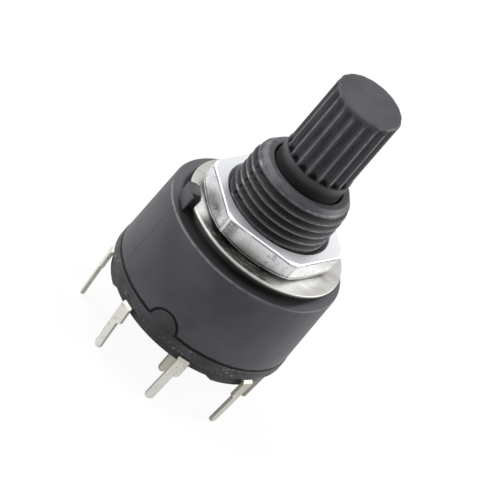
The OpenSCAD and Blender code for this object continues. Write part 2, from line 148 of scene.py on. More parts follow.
class Finish(Tree):  # a material's tree, with its Principled shader
    def __init__(self, name, **fixed):
        self.material = bpy.data.materials.new(name)
        self.material.use_nodes = True
        super().__init__(self.material.node_tree)
        self.shader = self.nodeTree.nodes["Principled BSDF"]
        for socket, value in fixed.items():
            self.give(socket.replace("_", " "), value)
        self.at = self.add("ShaderNodeTexCoord", out="Object")

    def noise(self, scale, detail=2.0, rough=0.5, at=None, twist=0.0):
        return self.add("ShaderNodeTexNoise", None, {
            "Vector": at or self.at, "Scale": scale, "Detail": detail,
            "Roughness": rough, "Distortion": twist}, out="Fac")

    def stretched(self, x, y, z):
        return self.add("ShaderNodeMapping", None, {"Vector": self.at, "Scale": (x, y, z)})

    def blend(self, share, first, second):  # of two colours, sockets 6 and 7
        values = {"Factor": share, 6: first, 7: second}
        return self.add("ShaderNodeMix", {"data_type": "RGBA"}, values, out=2)

    def give(self, socket, value):
        self.plug(self.shader.inputs[socket], value)

    def relief(self, height, depth, strength=1.0):  # depth in millimetres
        self.give("Normal", self.add("ShaderNodeBump", None, {
            "Height": height, "Distance": depth * mm, "Strength": strength}))

    def measure(self):  # turn goes round the axis from -0.5 to 0.5, the rest is in millimetres
        x, y, z = self.split(self.at)
        self.turn = x.calc("ARCTAN2", y, x) / (2 * pi)
        self.out = ((x * x + y * y) ** 0.5) / mm
        self.x, self.y, self.high = x / mm, y / mm, z / mm

    def facing(self, angle, full, gone):  # 1 within some degrees of an angle, 0 past more
        return (abs(self.turn - angle / 360) * 360).drop(full, gone)


plasticLook = {
    "dark": linear(54, 55, 58),
    "light": linear(72, 73, 77),
    # lighter tone of wear, also used for painted highlights and sheen on the housing and shaft
    "worn": linear(120, 121, 125),
    "roughness": 0.42,
    "gloss": 0.25,
    "grain": 0.05,          # size of the mould's spark grain
    "grainDepth": 0.004,
}


def mouldedPlastic(name, **changes):
    look = dict(plasticLook, **changes)
    finish = Finish(name, Specular_IOR_Level=look["gloss"])
    finish.measure()
    cloud = finish.noise(260, 3)
    grain = finish.noise(0.6 / (look["grain"] * mm), 2, 0.6)
    specks = finish.noise(5200, 1, 0.4).ramp(0.66, 0.72)
    shade = (cloud * 0.7 + grain * 0.3).ramp(0.3, 0.72)
    finish.colour = finish.blend(shade * 0.8 + specks * 0.2, look["dark"], look["light"])
    finish.rough = look["roughness"] + 0.1 * cloud + 0.08 * grain - specks * 0.06
    finish.grained = grain + cloud * 0.6
    finish.give("Roughness", finish.rough)
    finish.relief(finish.grained, look["grainDepth"], 0.6)
    return finish


def turned(*rows):  # rows given as (radius, height) become functions of the angle
    return [row if callable(row) else (lambda a, row=row: row) for row in rows]


def roundCorners(corners, steps=3):  # corners as (radius, height, fillet) along an open line
    line = []
    for i, (r, z, fillet) in enumerate(corners):
        here = Vector((r, z))
        if not fillet or i in (0, len(corners) - 1):
            line.append((r, z))
            continue
        back = (Vector(corners[i - 1][:2]) - here).normalized()
        ahead = (Vector(corners[i + 1][:2]) - here).normalized()
        half = acos(max(-1, min(1, back.dot(ahead)))) / 2
        reach = fillet / tan(half)
        centre = here + (back + ahead).normalized() * (fillet / sin(half))
        first = here + back * reach - centre
        swing = (here + ahead * reach - centre).angle_signed(first)
        for k in range(steps + 1):
            spoke = first.copy()
            spoke.rotate(Matrix.Rotation(swing * k / steps, 2))
            line.append(tuple(centre + spoke))
    return line


def columns(count, extra=(), apart=0.004):  # angles round the axis, in radians, from 0 to a full turn
    even = [2 * pi * k / count for k in range(count + 1)]
    close = [radians(a) % (2 * pi) for a in extra]
    kept = [a for a in even if a in (0.0, even[-1]) or min((abs(a - c) for c in close), default=1) > apart]
    return sorted(kept + close)


def latheInto(bm, rows, angles):  # each row is a function of the angle that gives (radius, height)
    grid = []
    for row in rows:
        ring = []
        for a in angles:
            r, z = row(a)
            ring.append(bm.verts.new((r * cos(a), r * sin(a), z)))
        grid.append(ring)
    for low, high in zip(grid, grid[1:]):
        for j in range(len(angles) - 1):
            bm.faces.new((low[j], low[j + 1], high[j + 1], high[j]))


def smoothed(mesh, sharp):
    mesh.shade_smooth()
    mesh.set_sharp_from_angle(angle=radians(sharp))
    return mesh


def linked(name, data):
    made = bpy.data.objects.new(name, data)
    bpy.context.scene.collection.objects.link(made)
    return made


def evaluatedMesh(host):
    return bpy.data.meshes.new_from_object(host.evaluated_get(bpy.context.evaluated_depsgraph_get()))


def meshFrom(name, bm, finish, sharp=38.0):
    bmesh.ops.remove_doubles(bm, verts=bm.verts, dist=2e-5)
    bmesh.ops.dissolve_degenerate(bm, edges=bm.edges, dist=1e-6)
    mesh = bpy.data.meshes.new(name)
    bm.to_mesh(mesh)
    bm.free()
    mesh.transform(Matrix.Scale(mm, 4))
    mesh.materials.append(finish.material)
    return linked(name, smoothed(mesh, sharp))


def lathed(name, rows, angles, finish, sharp=38.0):
    bm = bmesh.new()
    latheInto(bm, rows, angles)
    return meshFrom(name, bm, finish, sharp)


def spin(bm, angle):
    bmesh.ops.rotate(bm, verts=bm.verts, cent=(0, 0, 0), matrix=Matrix.Rotation(radians(angle), 3, "Z"))


def smoothStep(x):
    x = min(max(x, 0), 1)
    return x * x * (3 - 2 * x)


def geometryTree(name, inputs, whole=()):  # a Geometry Nodes group with named inputs; whole are integers
    group = bpy.data.node_groups.new(name, "GeometryNodeTree")
    group.interface.new_socket("Geometry", in_out="INPUT", socket_type="NodeSocketGeometry")
    for label in inputs:
        kind = "NodeSocketInt" if label in whole else "NodeSocketFloat"
        group.interface.new_socket(label, in_out="INPUT", socket_type=kind)
    group.interface.new_socket("Geometry", in_out="OUTPUT", socket_type="NodeSocketGeometry")
    tree = Tree(group)
    return tree, tree.add("NodeGroupInput").besides()


def closeTree(tree, geometry, finish):  # every tree ends in realised geometry with its material
    real = tree.add("GeometryNodeRealizeInstances", None, {"Geometry": geometry})
    dressed = tree.add("GeometryNodeSetMaterial", None, {"Geometry": real, "Material": finish.material})
    tree.add("NodeGroupOutput", None, {"Geometry": dressed})


def runTree(host, tree, values):  # the modifier's result as a plain mesh
    modifier = host.modifiers.new("build", "NODES")
    modifier.node_group = tree.nodeTree
    for item in tree.nodeTree.interface.items_tree:
        if item.in_out == "INPUT" and item.name in values:
            modifier[item.identifier] = values[item.name]
    bpy.context.view_layer.update()
    mesh = evaluatedMesh(host)
    host.modifiers.remove(modifier)
    return mesh


cameraAt = {
    "place": (-123.90, -461.45, 285.25),
    "target": (0.205, -0.731, -1.780),
    "roll": 40.68,
    "lens": 513.3,
    "sensor": 36,
    "clip": (0.05, 20),     # in metres
}


def aimed(place, target):  # a camera or lamp at a place, turned to its target
    turn = (target - place).to_track_quat("-Z", "Y").to_matrix().to_4x4()
    return Matrix.Translation(place) @ turn


def placeCamera():
    lens = bpy.data.cameras.new("camera")
    lens.lens = cameraAt["lens"]
    lens.sensor_width = cameraAt["sensor"]
    lens.clip_start, lens.clip_end = cameraAt["clip"]
    camera = linked("camera", lens)
    place = Vector(cameraAt["place"]) * mm
    rolled = Matrix.Rotation(radians(cameraAt["roll"]), 4, "Z")
    camera.matrix_world = aimed(place, Vector(cameraAt["target"]) * mm) @ rolled
    bpy.context.scene.camera = camera


placeCamera()
print("camera placed")


# the bushing and the nut share one thread
thread = {
    "pitch": 0.75,
    "phase": 0.32,
    "depth": 0.38,
    # one turn from crest to crest: share of the pitch, share of the depth
    "profile": [(-0.13, 0.1), (-0.06, 0.0), (0.06, 0.0), (0.13, 0.1),
                (0.38, 0.93), (0.46, 1.0), (0.54, 1.0), (0.62, 0.93)],
}


def threadDepth(a, z):  # share of the thread's full depth at an angle and height
    first, shallow = thread["profile"][0]
    place = ((z - thread["phase"]) / thread["pitch"] - a / (2 * pi) - first) % 1 + first
    line = thread["profile"] + [(1 + first, shallow)]
    for (s0, d0), (s1, d1) in zip(line, line[1:]):
        if place <= s1:
            return d0 + (d1 - d0) * (place - s0) / (s1 - s0)
    return shallow


def threadRows(low, high, radiusAt):
    pitch = thread["pitch"]
    first = floor((low - thread["phase"]) / pitch) - 2
    last = ceil((high - thread["phase"]) / pitch) + 1
    rows = []
    for turn in range(first, last):
        for share, depth in thread["profile"]:
            start = thread["phase"] + (turn + share) * pitch

            def row(a, start=start, depth=depth):
                z = min(max(start + pitch * a / (2 * pi), low), high)
                return radiusAt(a, z, depth * thread["depth"]), z

            rows.append(row)
    return rows


# body, seat and threaded bushing are one moulding
bodyLow, bodyHigh = nodeBox("housing")
housing = {
    "seamR": (bodyHigh.x - bodyLow.x) / 2,
    "seamZ": bodyLow.z,
    "topZ": bodyLow.z + 7.1,
    "draft": 1.0,
    "topEdge": 0.14,
    "seamEdge": 0.13,
    "sideFrom": 1.8,             # height over the seam that clears the lugs
    "seatR": 6.4,
    "seatEdge": 0.1,
    "crestR": 4.45,
    "leadZ": bodyHigh.z - 1.3,   # where the thread's crests begin to taper
    "leadR": 4.25,
    "coneZ": bodyHigh.z - 0.6,
    "coneR": 3.79,
    "tipZ": bodyHigh.z,
    "mouthR": 3.2,
    "mouthZ": bodyHigh.z - 1.2,
    "mouthEdge": 0.1,
    "boreR": 3.1,
    "boreEdge": 0.05,
    "softEdge": 0.06,
    "coneStep": 0.03,            # height between the rows that end the thread on the cone
    "coneRows": 9,
    "runInZ": 0.03,              # where the thread's grooves begin
    "runIn": 0.2,                # height over which they get deep
    "parting": (-157.5, 22.5),   # where the mould's halves met
    "flatHalf": 11.0,            # half the angle over which the thread is shallower there
    "flatFull": 0.6,             # share of that angle over which it is shallowest
    "flatShare": 0.45,
    "flash": 0.05,
    "flashHalf": 1.2,            # degrees
    "roofZ": bodyLow.z + 7.1 - 1.3,
    "cavityR": (bodyHigh.x - bodyLow.x) / 2 - 1.05,
    "ringR": (bodyHigh.x - bodyLow.x) / 2 - 1.62,
    "ringZ": -5.8,
    "notchR": 2.4,
    "notchDepth": 0.45,
    "ribR": 4.7,
    "ribDrop": 0.8,
    "ribAngle": 112.5,
    "ribWidth": 24.0,
    "ribSlope": 0.1,             # half the angle of its flanks
    "lugs": (-112.5, 67.5),
    "lugR": 1.32,
    "columns": 240,
}
steps = 8               # positions of the switch
firstAngle = 135.0
housingMarks = {
    # painted shade over the thread and in its grooves
    "groove": linear(10, 10, 11),
    # painted shade in the bore, on the shelf and along the seam; also the parting line
    "hollow": linear(9, 9, 10),
    "threadZ": (0.05, 0.2, 6.1, 6.35),
    "threadR": (3.6, 3.9, 4.46, 4.5),
    "crestShare": (0.03, 0.1),           # shares of the pitch on both sides of a crest
    "grooveShare": (0.14, 0.3),
    "nickShare": (0.08, 0.16),
    "nickSide": (2, 7),                  # degrees beside the parting line
    "tipZ": (6.0, 6.15),
    "tipR": (3.3, 3.4),
    # painted sheen on the bushing's end grows towards the left
    "leftward": (-0.1, 0.9),
    "rightward": (-120, -55),            # degrees, as in front; painted crest highlights grow this way and the painted edge highlight fades
    "boreR": (3.2, 3.26),
    "boreZ": (6.5, 6.6),
    "front": (-108, 38, 72),
    "frontStep": 0.65,                   # how much wider the painted shadow on the shelf is there
    "ledgeZ": (-0.8, -0.71, -0.6, -0.5),
    "shelfR": (6.9, 7.25),
    # where the painted highlight on the body's top edge lies
    "edgeR": (7.8, 7.9),
    "edgeZ": (-0.85, -0.78, -0.6, -0.5),
    "seam": (0.33, 0.44),                # height over the seam, with the ragged share
    "ragged": 0.25,
    "lugLine": (1.31, 0.13, 0.24),       # radius round a lug, and distances from it
    "lugOut": (5.0, 6.0),
    "parting": (0.02, 0.08),
    "partingZ": (-0.75, -0.7),
}


def threadShade(finish, shade, rubbed, rightward):
    # rubbed crests with a painted highlight that grows to the right, and nicks; painted shade over the
    # thread, deepest in its grooves; and a lighter end, wear with a painted sheen towards the left
    m = housingMarks
    turn, out, high = finish.turn, finish.out, finish.high
    pitches = (high - thread["phase"]) / thread["pitch"] - turn
    share = pitches - pitches.calc("ROUND", pitches)      # 0 on a crest, negative under it, 0.5 in a groove
    threaded = high.between(*m["threadZ"]) * out.between(*m["threadR"])
    # painted highlight along the crests over rubbed wear, stronger to the right
    crest = abs(share + 0.01 + 0.06 * (rubbed - 0.5)).drop(*m["crestShare"]) * threaded
    crest = crest * (0.2 + 0.8 * rubbed.ramp(0.38, 0.58)) * (0.5 + 0.5 * rightward)
    groove = abs(share + 0.06).ramp(*m["grooveShare"]) * threaded
    nicks = threaded * abs(share).drop(*m["nickShare"]) * rubbed.ramp(0.3, 0.45)
    nicks = nicks * finish.facing(housing["parting"][0], *m["nickSide"])
    # wear on the bushing's end with a painted sheen towards the left
    tip = high.ramp(*m["tipZ"]) * out.ramp(*m["tipR"]) * (0.3 + 0.7 * rubbed.ramp(0.35, 0.6))
    tip = tip * (finish.x / (-1 * out)).ramp(*m["leftward"])
    grainy = (threaded * (1 - groove * 0.9)).most(tip) * finish.noise(5600, 3, 0.7).ramp(0.46, 0.62)
    # painted shade over the thread, and more in its grooves
    shade = finish.blend(threaded * 0.3, shade, m["groove"])
    shade = finish.blend(groove * 0.85, shade, m["groove"])
    shade = finish.blend(grainy * 0.22, shade, plasticLook["worn"])
    # the last mask lightens: wear, with painted highlights on the crests and the end
    return shade, crest, groove, (crest * 0.8).most(nicks * 0.9).most(tip * 0.35)


def seamShade(finish):  # painted shade along the seam and round the lugs in it
    m = housingMarks
    ragged = finish.noise(2000, 3, 0.65)
    above = finish.high - housing["seamZ"]
    seam = (above + m["ragged"] * ragged).drop(*m["seam"])
    rim = 0.0
    for lug in housing["lugs"]:
        outward = finish.x * cos(radians(lug)) + finish.y * sin(radians(lug))
        across = finish.y * cos(radians(lug)) - finish.x * sin(radians(lug))
        reach = (across * across + above * above) ** 0.5 + 0.1 * (ragged - 0.5)
        rim = reach.near(*m["lugLine"]) * outward.ramp(*m["lugOut"]) + rim
    return seam.most(rim.least(1.0))


def partingLine(finish):  # where the mould's halves met
    m = housingMarks
    line = 0.0
    for middle in housing["parting"]:
        line = (abs(finish.turn - middle / 360) * finish.out * 2 * pi).drop(*m["parting"]) + line
    return line * finish.high.drop(*m["partingZ"])


def housingLook():
    m = housingMarks
    finish = mouldedPlastic("blackMoulding")
    out, high = finish.out, finish.high
    rubbed = finish.noise(1500, 3, 0.6)
    rightward = (finish.turn * 360).ramp(*m["rightward"])
    shade, crest, groove, worn = threadShade(finish, finish.colour, rubbed, rightward)
    parting = partingLine(finish)

    # painted shadow on the shelf round the seat, wider at the front, a painted highlight on the edge
    # outside it on the left, and painted shade in the bore
    front = finish.facing(*m["front"])
    ledge = high.between(*m["ledgeZ"])
    shelfShadow = (out - m["frontStep"] * front).drop(*m["shelfR"]) * ledge
    edge = out.ramp(*m["edgeR"]) * high.between(*m["edgeZ"]) * rubbed.ramp(0.2, 0.6) * (1 - rightward)
    boreShade = out.drop(*m["boreR"]) * high.drop(*m["boreZ"])
    # painted shade along the seam, in the bore and on the shelf
    dark = seamShade(finish).most(boreShade).most(shelfShadow * 0.9).least(1.0)

    # wear and painted highlights in the lighter tone
    shade = finish.blend(worn.most(edge * 0.6), shade, plasticLook["worn"])
    # painted sheen on the shelf away from the front
    shade = finish.blend(ledge * (1 - front) * 0.25, shade, plasticLook["worn"])
    shade = finish.blend(parting * 0.5, shade, m["hollow"])
    finish.give("Base Color", finish.blend(dark, shade, m["hollow"]))
    finish.give("Roughness", finish.rough - crest * 0.14 + groove * 0.2 + dark * 0.3)
    finish.relief(finish.grained - parting * 2.5, plasticLook["grainDepth"], 0.6)
    return finish


housingFinish = housingLook()


def away(a, direction):  # angle between a and a direction in degrees, as radians from -pi to pi
    return (a - radians(direction) + pi) % (2 * pi) - pi


def lugHeight(a, r, radius, lugs):  # height of a half-round over the seam at this angle and distance
    best = 0.0
    for lug in lugs:
        side = r * sin(away(a, lug))
        if abs(away(a, lug)) < 0.5 and abs(side) < radius:
            best = sqrt(radius * radius - side * side)
    return best


def lugColumns(lugs, radius, r):  # angles that follow the half-rounds
    angles = []
    for lug in lugs:
        angles += [lug + degrees(asin(radius * cos(pi * k / 24) / r)) for k in range(25)]
    return angles


def bushingShell(z):  # the turned outside that the thread is cut into
    h = housing
    if z <= h["leadZ"]:
        return h["crestR"]
    if z <= h["coneZ"]:
        return h["crestR"] + (h["leadR"] - h["crestR"]) * (z - h["leadZ"]) / (h["coneZ"] - h["leadZ"])
    return h["leadR"] + (h["coneR"] - h["leadR"]) * (z - h["coneZ"]) / (h["tipZ"] - h["coneZ"])


def bushingRadius(a, z, depth):  # the thread's surface, shallower and flashed at the parting lines
    h = housing
    rise = smoothStep((z - h["runInZ"]) / h["runIn"])
    off = min(abs(degrees(away(a, middle))) for middle in h["parting"])
    deeper = smoothStep((off / h["flatHalf"] - h["flatFull"]) / (1 - h["flatFull"]))
    cut = h["crestR"] - depth * rise * (1 - h["flatShare"] * (1 - deeper))
    if off < h["flashHalf"]:
        flashR = h["crestR"] - h["flash"]
        cut = max(cut, flashR - (flashR - cut) * off / h["flashHalf"])
    return min(bushingShell(z), cut)


def makeHousing():
    h = housing
    slope = tan(radians(h["draft"]))

    def sideR(z):
        return h["seamR"] - (z - h["seamZ"]) * slope

    def seamRow(inset, rise):
        def row(a):
            z = h["seamZ"] + lugHeight(a, h["seamR"], h["lugR"], h["lugs"]) + rise
            return sideR(z) - inset, z
        return row

    def cavityRow(a):
        return h["cavityR"], h["seamZ"] + lugHeight(a, h["cavityR"], h["lugR"], h["lugs"])

    def ringRow(z):
        def row(a):
            swing = away(a, firstAngle) % (2 * pi / steps)
            swing = min(swing, 2 * pi / steps - swing)
            middle = h["ringR"] + h["notchDepth"] - h["notchR"]
            across = middle * sin(swing)
            if across >= h["notchR"]:
                return h["ringR"], z
            return max(middle * cos(swing) + sqrt(h["notchR"] ** 2 - across ** 2), h["ringR"]), z
        return row

    def roofRow(r, edge):
        def row(a):
            inRib = abs(away(a, h["ribAngle"])) < radians(h["ribWidth"] / 2)
            return r, h["roofZ"] - (h["ribDrop"] if edge and inRib else 0)
        return row

    e = h["seamEdge"]
    sideZ = h["seamZ"] + h["sideFrom"]
    outer = roundCorners([
        (sideR(sideZ), sideZ, 0),
        (sideR(h["topZ"]), h["topZ"], h["topEdge"]),
        (h["seatR"], h["topZ"], h["seatEdge"]),
        (h["seatR"], 0, h["softEdge"]),
        (h["crestR"], 0, 0),
    ], 5)
    coneCut = [h["coneZ"] + h["coneStep"] * k for k in range(1, h["coneRows"] + 1)]
    endCut = coneCut[-1] + 0.02
    tip = roundCorners([
        (bushingShell(endCut), endCut, 0),
        (h["coneR"], h["tipZ"], h["softEdge"]),
        (h["mouthR"], h["tipZ"], h["mouthEdge"]),
        (h["mouthR"], h["mouthZ"], h["boreEdge"]),
        (h["boreR"], h["mouthZ"], h["boreEdge"]),
        (h["boreR"], h["roofZ"], 0),
    ], 4)

    def coneRow(z):
        return lambda a: (bushingRadius(a, z, threadDepth(a, z) * thread["depth"]), z)

    rows = [cavityRow, seamRow(e, 0), seamRow(0.3 * e, 0.3 * e), seamRow(0, e)]
    rows += turned(*outer)
    rows += threadRows(0, h["coneZ"], bushingRadius)
    rows += [coneRow(z) for z in coneCut]
    rows += turned(*tip)
    rows += [roofRow(h["ribR"], False), roofRow(h["ribR"], True)]
    rows.append(lambda a: (ringRow(0)(a)[0], roofRow(0, True)(a)[1]))
    rows += [ringRow(h["ringZ"]), lambda a: (h["cavityR"], h["ringZ"]), cavityRow]

    edges = [h["ribAngle"] + side * (h["ribWidth"] / 2 + step * h["ribSlope"])
             for side in (-1, 1) for step in (-1, 1)]
    edges += [middle + step * h["flashHalf"] for middle in h["parting"] for step in (-1, -0.5, 0, 0.5, 1)]
    angles = columns(h["columns"], lugColumns(h["lugs"], h["lugR"], h["seamR"]) + edges)
    return lathed("housingShell", rows, angles, housingFinish)


keyBlock = {
    "angle": -163.0,
    "width": 2.0,         # of its outer face
    "step": 0.65,         # how much narrower it is behind that face
    "face": 0.2,
    "inner": 6.23,
    "outer": 7.28,
    "top": 0.8,
    "edge": 0.05,
    "sunk": 0.4,          # how deep it stands in the body
}


def makeKey():
    k = keyBlock
    half, near = k["width"] / 2, k["outer"] - k["face"]
    outline = [(k["inner"], -half), (k["outer"], -half), (k["outer"], half), (near, half),
               (near, half - k["step"]), (k["inner"], half - k["step"])]
    bm = bmesh.new()
    footZ = housing["topZ"] - k["sunk"]
    foot = bm.faces.new([bm.verts.new((x, y, footZ)) for x, y in outline])
    risen = bmesh.ops.extrude_face_region(bm, geom=[foot])["geom"]
    lifted = [v for v in risen if isinstance(v, bmesh.types.BMVert)]
    bmesh.ops.translate(bm, verts=lifted, vec=(0, 0, k["top"] - footZ))
    bmesh.ops.recalc_face_normals(bm, faces=bm.faces)
    bmesh.ops.bevel(bm, geom=bm.edges[:], offset=k["edge"], segments=2, affect="EDGES", profile=0.5)
    spin(bm, k["angle"])
    return meshFrom("keyBlock", bm, housingFinish)


def fuse(base, extra):  # one closed skin from two
    modifier = base.modifiers.new("fuse", "BOOLEAN")
    modifier.operation = "UNION"
    modifier.solver = "EXACT"
    modifier.object = extra
    mesh = evaluatedMesh(base)
    base.modifiers.clear()
    base.data = smoothed(mesh, 38.0)
    bpy.data.objects.remove(extra)
    return base


body = fuse(makeHousing(), makeKey())
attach(body, "case")
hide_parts("housing")
print("housing made", len(body.data.polygons))


shaftLow, shaftHigh = nodeBox("shaft")
shaftForm = {
    "endZ": shaftHigh.z,
    "tailZ": shaftLow.z,
    "chamfer": 0.28,      # rounded, in steps of 18 degrees
    "capR": (2.3, 1.6, 0),    # rings of the flat end
    "toothR": 3.0,
    "journalR": 3.05,
    "journalEdge": 0.05,
    "collarR": 4.4,
    "collarEdge": 0.08,
    "pilotR": 1.25,
    "pilotEdge": 0.15,
    "square": 4.2,
    "rootR": 3.15,        # round the square, where the collar begins
    "shoulderZ": 8.35,
    "collarTopZ": housing["roofZ"] - 0.05,
    "collarZ": housing["roofZ"] - 0.85,
    "squareZ": -6.0,
}
serrations = {
    "count": 18,
    "depth": 0.32,
    "floor": 0.12,
    "flank": 104.0,
    "fromZ": 8.05,
    "phase": 0.135,
    "fade": 0.92,         # share of the depth that is gone at the end
    "runOut": 0.65,       # height over which it goes
    "rowsAt": (1.0, 0.8, 0.6, 0.5, 0.4, 0.34),    # distances from the end
}
shaftMarks = {
    # painted shade in the grooves
    "groove": linear(14, 14, 15),
    # painted shade in the pockets and low on the journal
    "hollow": linear(8, 8, 9),
    "crestR": (2.975, 2.998),
    "crestZ": (8.3, 8.5, 14.2, 14.6),
    "grooveR": (2.72, 2.9),
    "grooveZ": (8.0, 8.1, 14.5, 14.9),
    "pocketR": (2.86, 2.96),
    "pocketZ": (8.0, 8.06, 8.25, 8.6),
    "footZ": (7.05, 8.0),
}


def shaftLook():  # painted highlight lines along the teeth over wear, painted shade in the grooves, in pockets at their lower ends and low on the journal
    m = shaftMarks
    finish = mouldedPlastic("shaftMoulding", dark=linear(46, 47, 50), light=linear(70, 71, 75))
    out, high = finish.out, finish.high
    worn = finish.noise(1700, 4, 0.65).ramp(0.36, 0.6)
    streak = finish.noise(3000, 4, 0.7, at=finish.stretched(1.0, 1.0, 0.2)).ramp(0.35, 0.65)
    crest = out.ramp(*m["crestR"]) * high.between(*m["crestZ"]) * (0.45 + 0.55 * worn)
    groove = out.drop(*m["grooveR"]) * high.between(*m["grooveZ"])
    pocketShade = out.drop(*m["pocketR"]) * high.between(*m["pocketZ"])
    # painted shade in the pockets and low on the journal, by the bore
    dark = pocketShade.most(high.drop(*m["footZ"]) * 0.95)
    shade = finish.blend(groove * (0.05 + 0.55 * streak), finish.colour, m["groove"])
    # painted highlight along the teeth, over wear
    shade = finish.blend(crest * 0.5, shade, plasticLook["worn"])
    finish.give("Base Color", finish.blend(dark, shade, m["hollow"]))
    finish.give("Roughness", finish.rough - crest * 0.12 + dark * 0.35)
    return finish


shaftFinish = shaftLook()


def serrationTree():  # moves every point over a height in to the grooves' own surface
    tree, given = geometryTree("cutSerrations", [
        "Count", "Floor Radius", "Floor Width", "Flank Slope", "From Height", "Phase",
        "Fade From", "Fade To", "Fade Share"])
    x, y, z = tree.split(tree.add("GeometryNodeInputPosition"))
    r = (x * x + y * y) ** 0.5
    pitches = x.calc("ARCTAN2", y, x) * given["Count"] / (2 * pi) - given["Phase"]
    swing = abs(pitches - pitches.calc("ROUND", pitches)) * (2 * pi) / given["Count"]
    sine = swing.calc("SINE", swing)
    cosine = swing.calc("COSINE", swing)
    slope = given["Flank Slope"]
    floorR = given["Floor Radius"] / cosine
    lean = cosine * slope - sine
    flankR = (given["Floor Radius"] * slope - given["Floor Width"] / 2) / lean.most(1e-4)
    # towards the end the grooves run out
    fade = ((z - given["Fade From"]) / (given["Fade To"] - given["Fade From"])).most(0.0).least(1.0)
    whole = r.least(floorR.most(flankR))
    target = whole + (r - whole) * fade * fade * (3 - 2 * fade) * given["Fade Share"]
    share = target / r.most(1e-6)
    moved = tree.add("GeometryNodeSetPosition", None, {
        "Geometry": given["Geometry"],
        "Selection": z.calc("GREATER_THAN", z, given["From Height"]),
        "Position": tree.joined(x * share, y * share, z),
    })
    closeTree(tree, moved, shaftFinish)
    return tree


def serrationColumns(flank, floorR):  # on every groove's floor, flanks and edges
    s, g = shaftForm, serrations
    inner = degrees(atan2(g["floor"] / 2, floorR))
    edges = [degrees(atan2(g["floor"] / 2 + (r - floorR) * flank, r))
             for r in (s["toothR"], s["journalR"], s["toothR"] - s["chamfer"])]
    offsets = [inner] + edges + [0.5 * (inner + edges[0]), 0.75 * edges[0] + 0.25 * inner]
    pitch = 360 / g["count"]
    angles = []
    for k in range(g["count"]):
        middle = (k + g["phase"]) * pitch
        angles += [middle, middle + pitch / 2] + [middle + side * o for o in offsets for side in (-1, 1)]
    return columns(g["count"] * 4, angles)


def shaftRows():
    s, g = shaftForm, serrations
    c, half, bevel = s["chamfer"], s["square"] / 2, s["journalEdge"]

    def squareRow(z):
        def row(a):
            turn = a - radians(firstAngle)
            return half / max(abs(cos(turn)), abs(sin(turn))), z
        return row

    rows = turned(*roundCorners([
        (0, s["tailZ"], 0), (s["pilotR"], s["tailZ"], s["pilotEdge"]), (s["pilotR"], s["squareZ"], 0)]))
    rows += [squareRow(s["squareZ"]), squareRow(s["collarZ"])]
    rows += turned(*roundCorners([
        (s["rootR"], s["collarZ"], 0),
        (s["collarR"], s["collarZ"], s["collarEdge"]),
        (s["collarR"], s["collarTopZ"], s["collarEdge"]),
        (s["journalR"], s["collarTopZ"], 0),
        (s["journalR"], g["fromZ"] - 1e-3, 0),
    ]))
    # the point just over the grooves' floor is where the serrations begin
    rows += turned(
        (s["journalR"], g["fromZ"] + 1e-3), (s["journalR"], s["shoulderZ"] - bevel),
        (s["journalR"] - bevel, s["shoulderZ"]), (s["toothR"], s["shoulderZ"]),
        *[(s["toothR"], s["endZ"] - drop) for drop in g["rowsAt"]])
    rows += turned(*[(s["toothR"] - c + c * cos(radians(d)), s["endZ"] - c + c * sin(radians(d)))
                     for d in range(0, 91, 18)])
    return rows + turned(*[(r, s["endZ"]) for r in s["capR"]])


def makeShaft():
    s, g = shaftForm, serrations
    flank = tan(radians(g["flank"] / 2))
    floorR = s["toothR"] - g["depth"]
    blank = lathed("splinedShaft", shaftRows(), serrationColumns(flank, floorR), shaftFinish)
    blank.data = smoothed(runTree(blank, serrationTree(), {
        "Count": float(g["count"]),
        "Floor Radius": floorR * mm,
        "Floor Width": g["floor"] * mm,
        "Flank Slope": flank,
        "From Height": g["fromZ"] * mm,
        "Phase": g["phase"],
        "Fade From": (s["endZ"] - g["runOut"]) * mm,
        "Fade To": s["endZ"] * mm,
        "Fade Share": g["fade"],
    }), 30.0)
    return blank


shaftPiece = makeShaft()
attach(shaftPiece, "rotor")
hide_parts("shaft")
print("shaft made", len(shaftPiece.data.polygons))


nutLow, nutHigh = nodeBox("hex_nut")
nutForm = {
    "low": nutLow.z,
    "high": nutHigh.z,
    "flats": 11.0,
    "cornerAngle": -7.3,
    "cornerR": 6.15,      # how far out the cut-back corners reach
    "faceR": 5.33,        # lower face, inside its chamfer
    "topR": 5.95,
    "slope": 30.0,
    "edge": 0.07,
    "edgeSteps": 6,
    "boreChamfer": 4.78,
    "boreSlope": 0.9,     # radius that its chamfer loses for each millimetre of height
    "gap": 0.05,
    "engaged": 0.5,       # share of the thread's depth that its own thread fills
    "columns": 216,
    "cornerColumns": (0.9, 1.8, 2.6, 3.4, 3.44, 4.2),    # degrees beside a corner
}
zincLook = {
    "bright": (0.70, 0.71, 0.73, 1),
    # painted sheen on the near side of the top
    "near": (0.96, 0.97, 0.99, 1),
    # the sides, darker than the top as painted shade
    "facet": (0.42, 0.41, 0.38, 1),
    # painted highlights on the corners
    "cornerHighlight": (0.80, 0.81, 0.82, 1),
    # dark tone of scuffs and lines, also the painted shadow under the lower chamfer
    "stain": (0.12, 0.12, 0.13, 1),
    "facetR": (5.4, 5.48),
    "facetZ": (0.32, 0.42, 2.26, 2.32),
    "nearZ": (2.3, 2.36),
    "nearSide": (-97.2, 20, 60),         # degrees
    "ridgeHalf": (0.5, 1.6),             # degrees from a corner
    # degrees over which the painted corner highlights fade
    "ridgeFades": (-110, -90),
    "scuffSide": (-123.84, 2, 9),
    "patchSide": (-143.28, 3, 12),
    "patchZ": (1.05, 0.2, 0.8),
    "chamferLine": (0.2, 0.03, 0.1),     # heights over the lower chamfer, for the painted shadow line
    "topLine": (2.14, 0.02, 0.1),
}


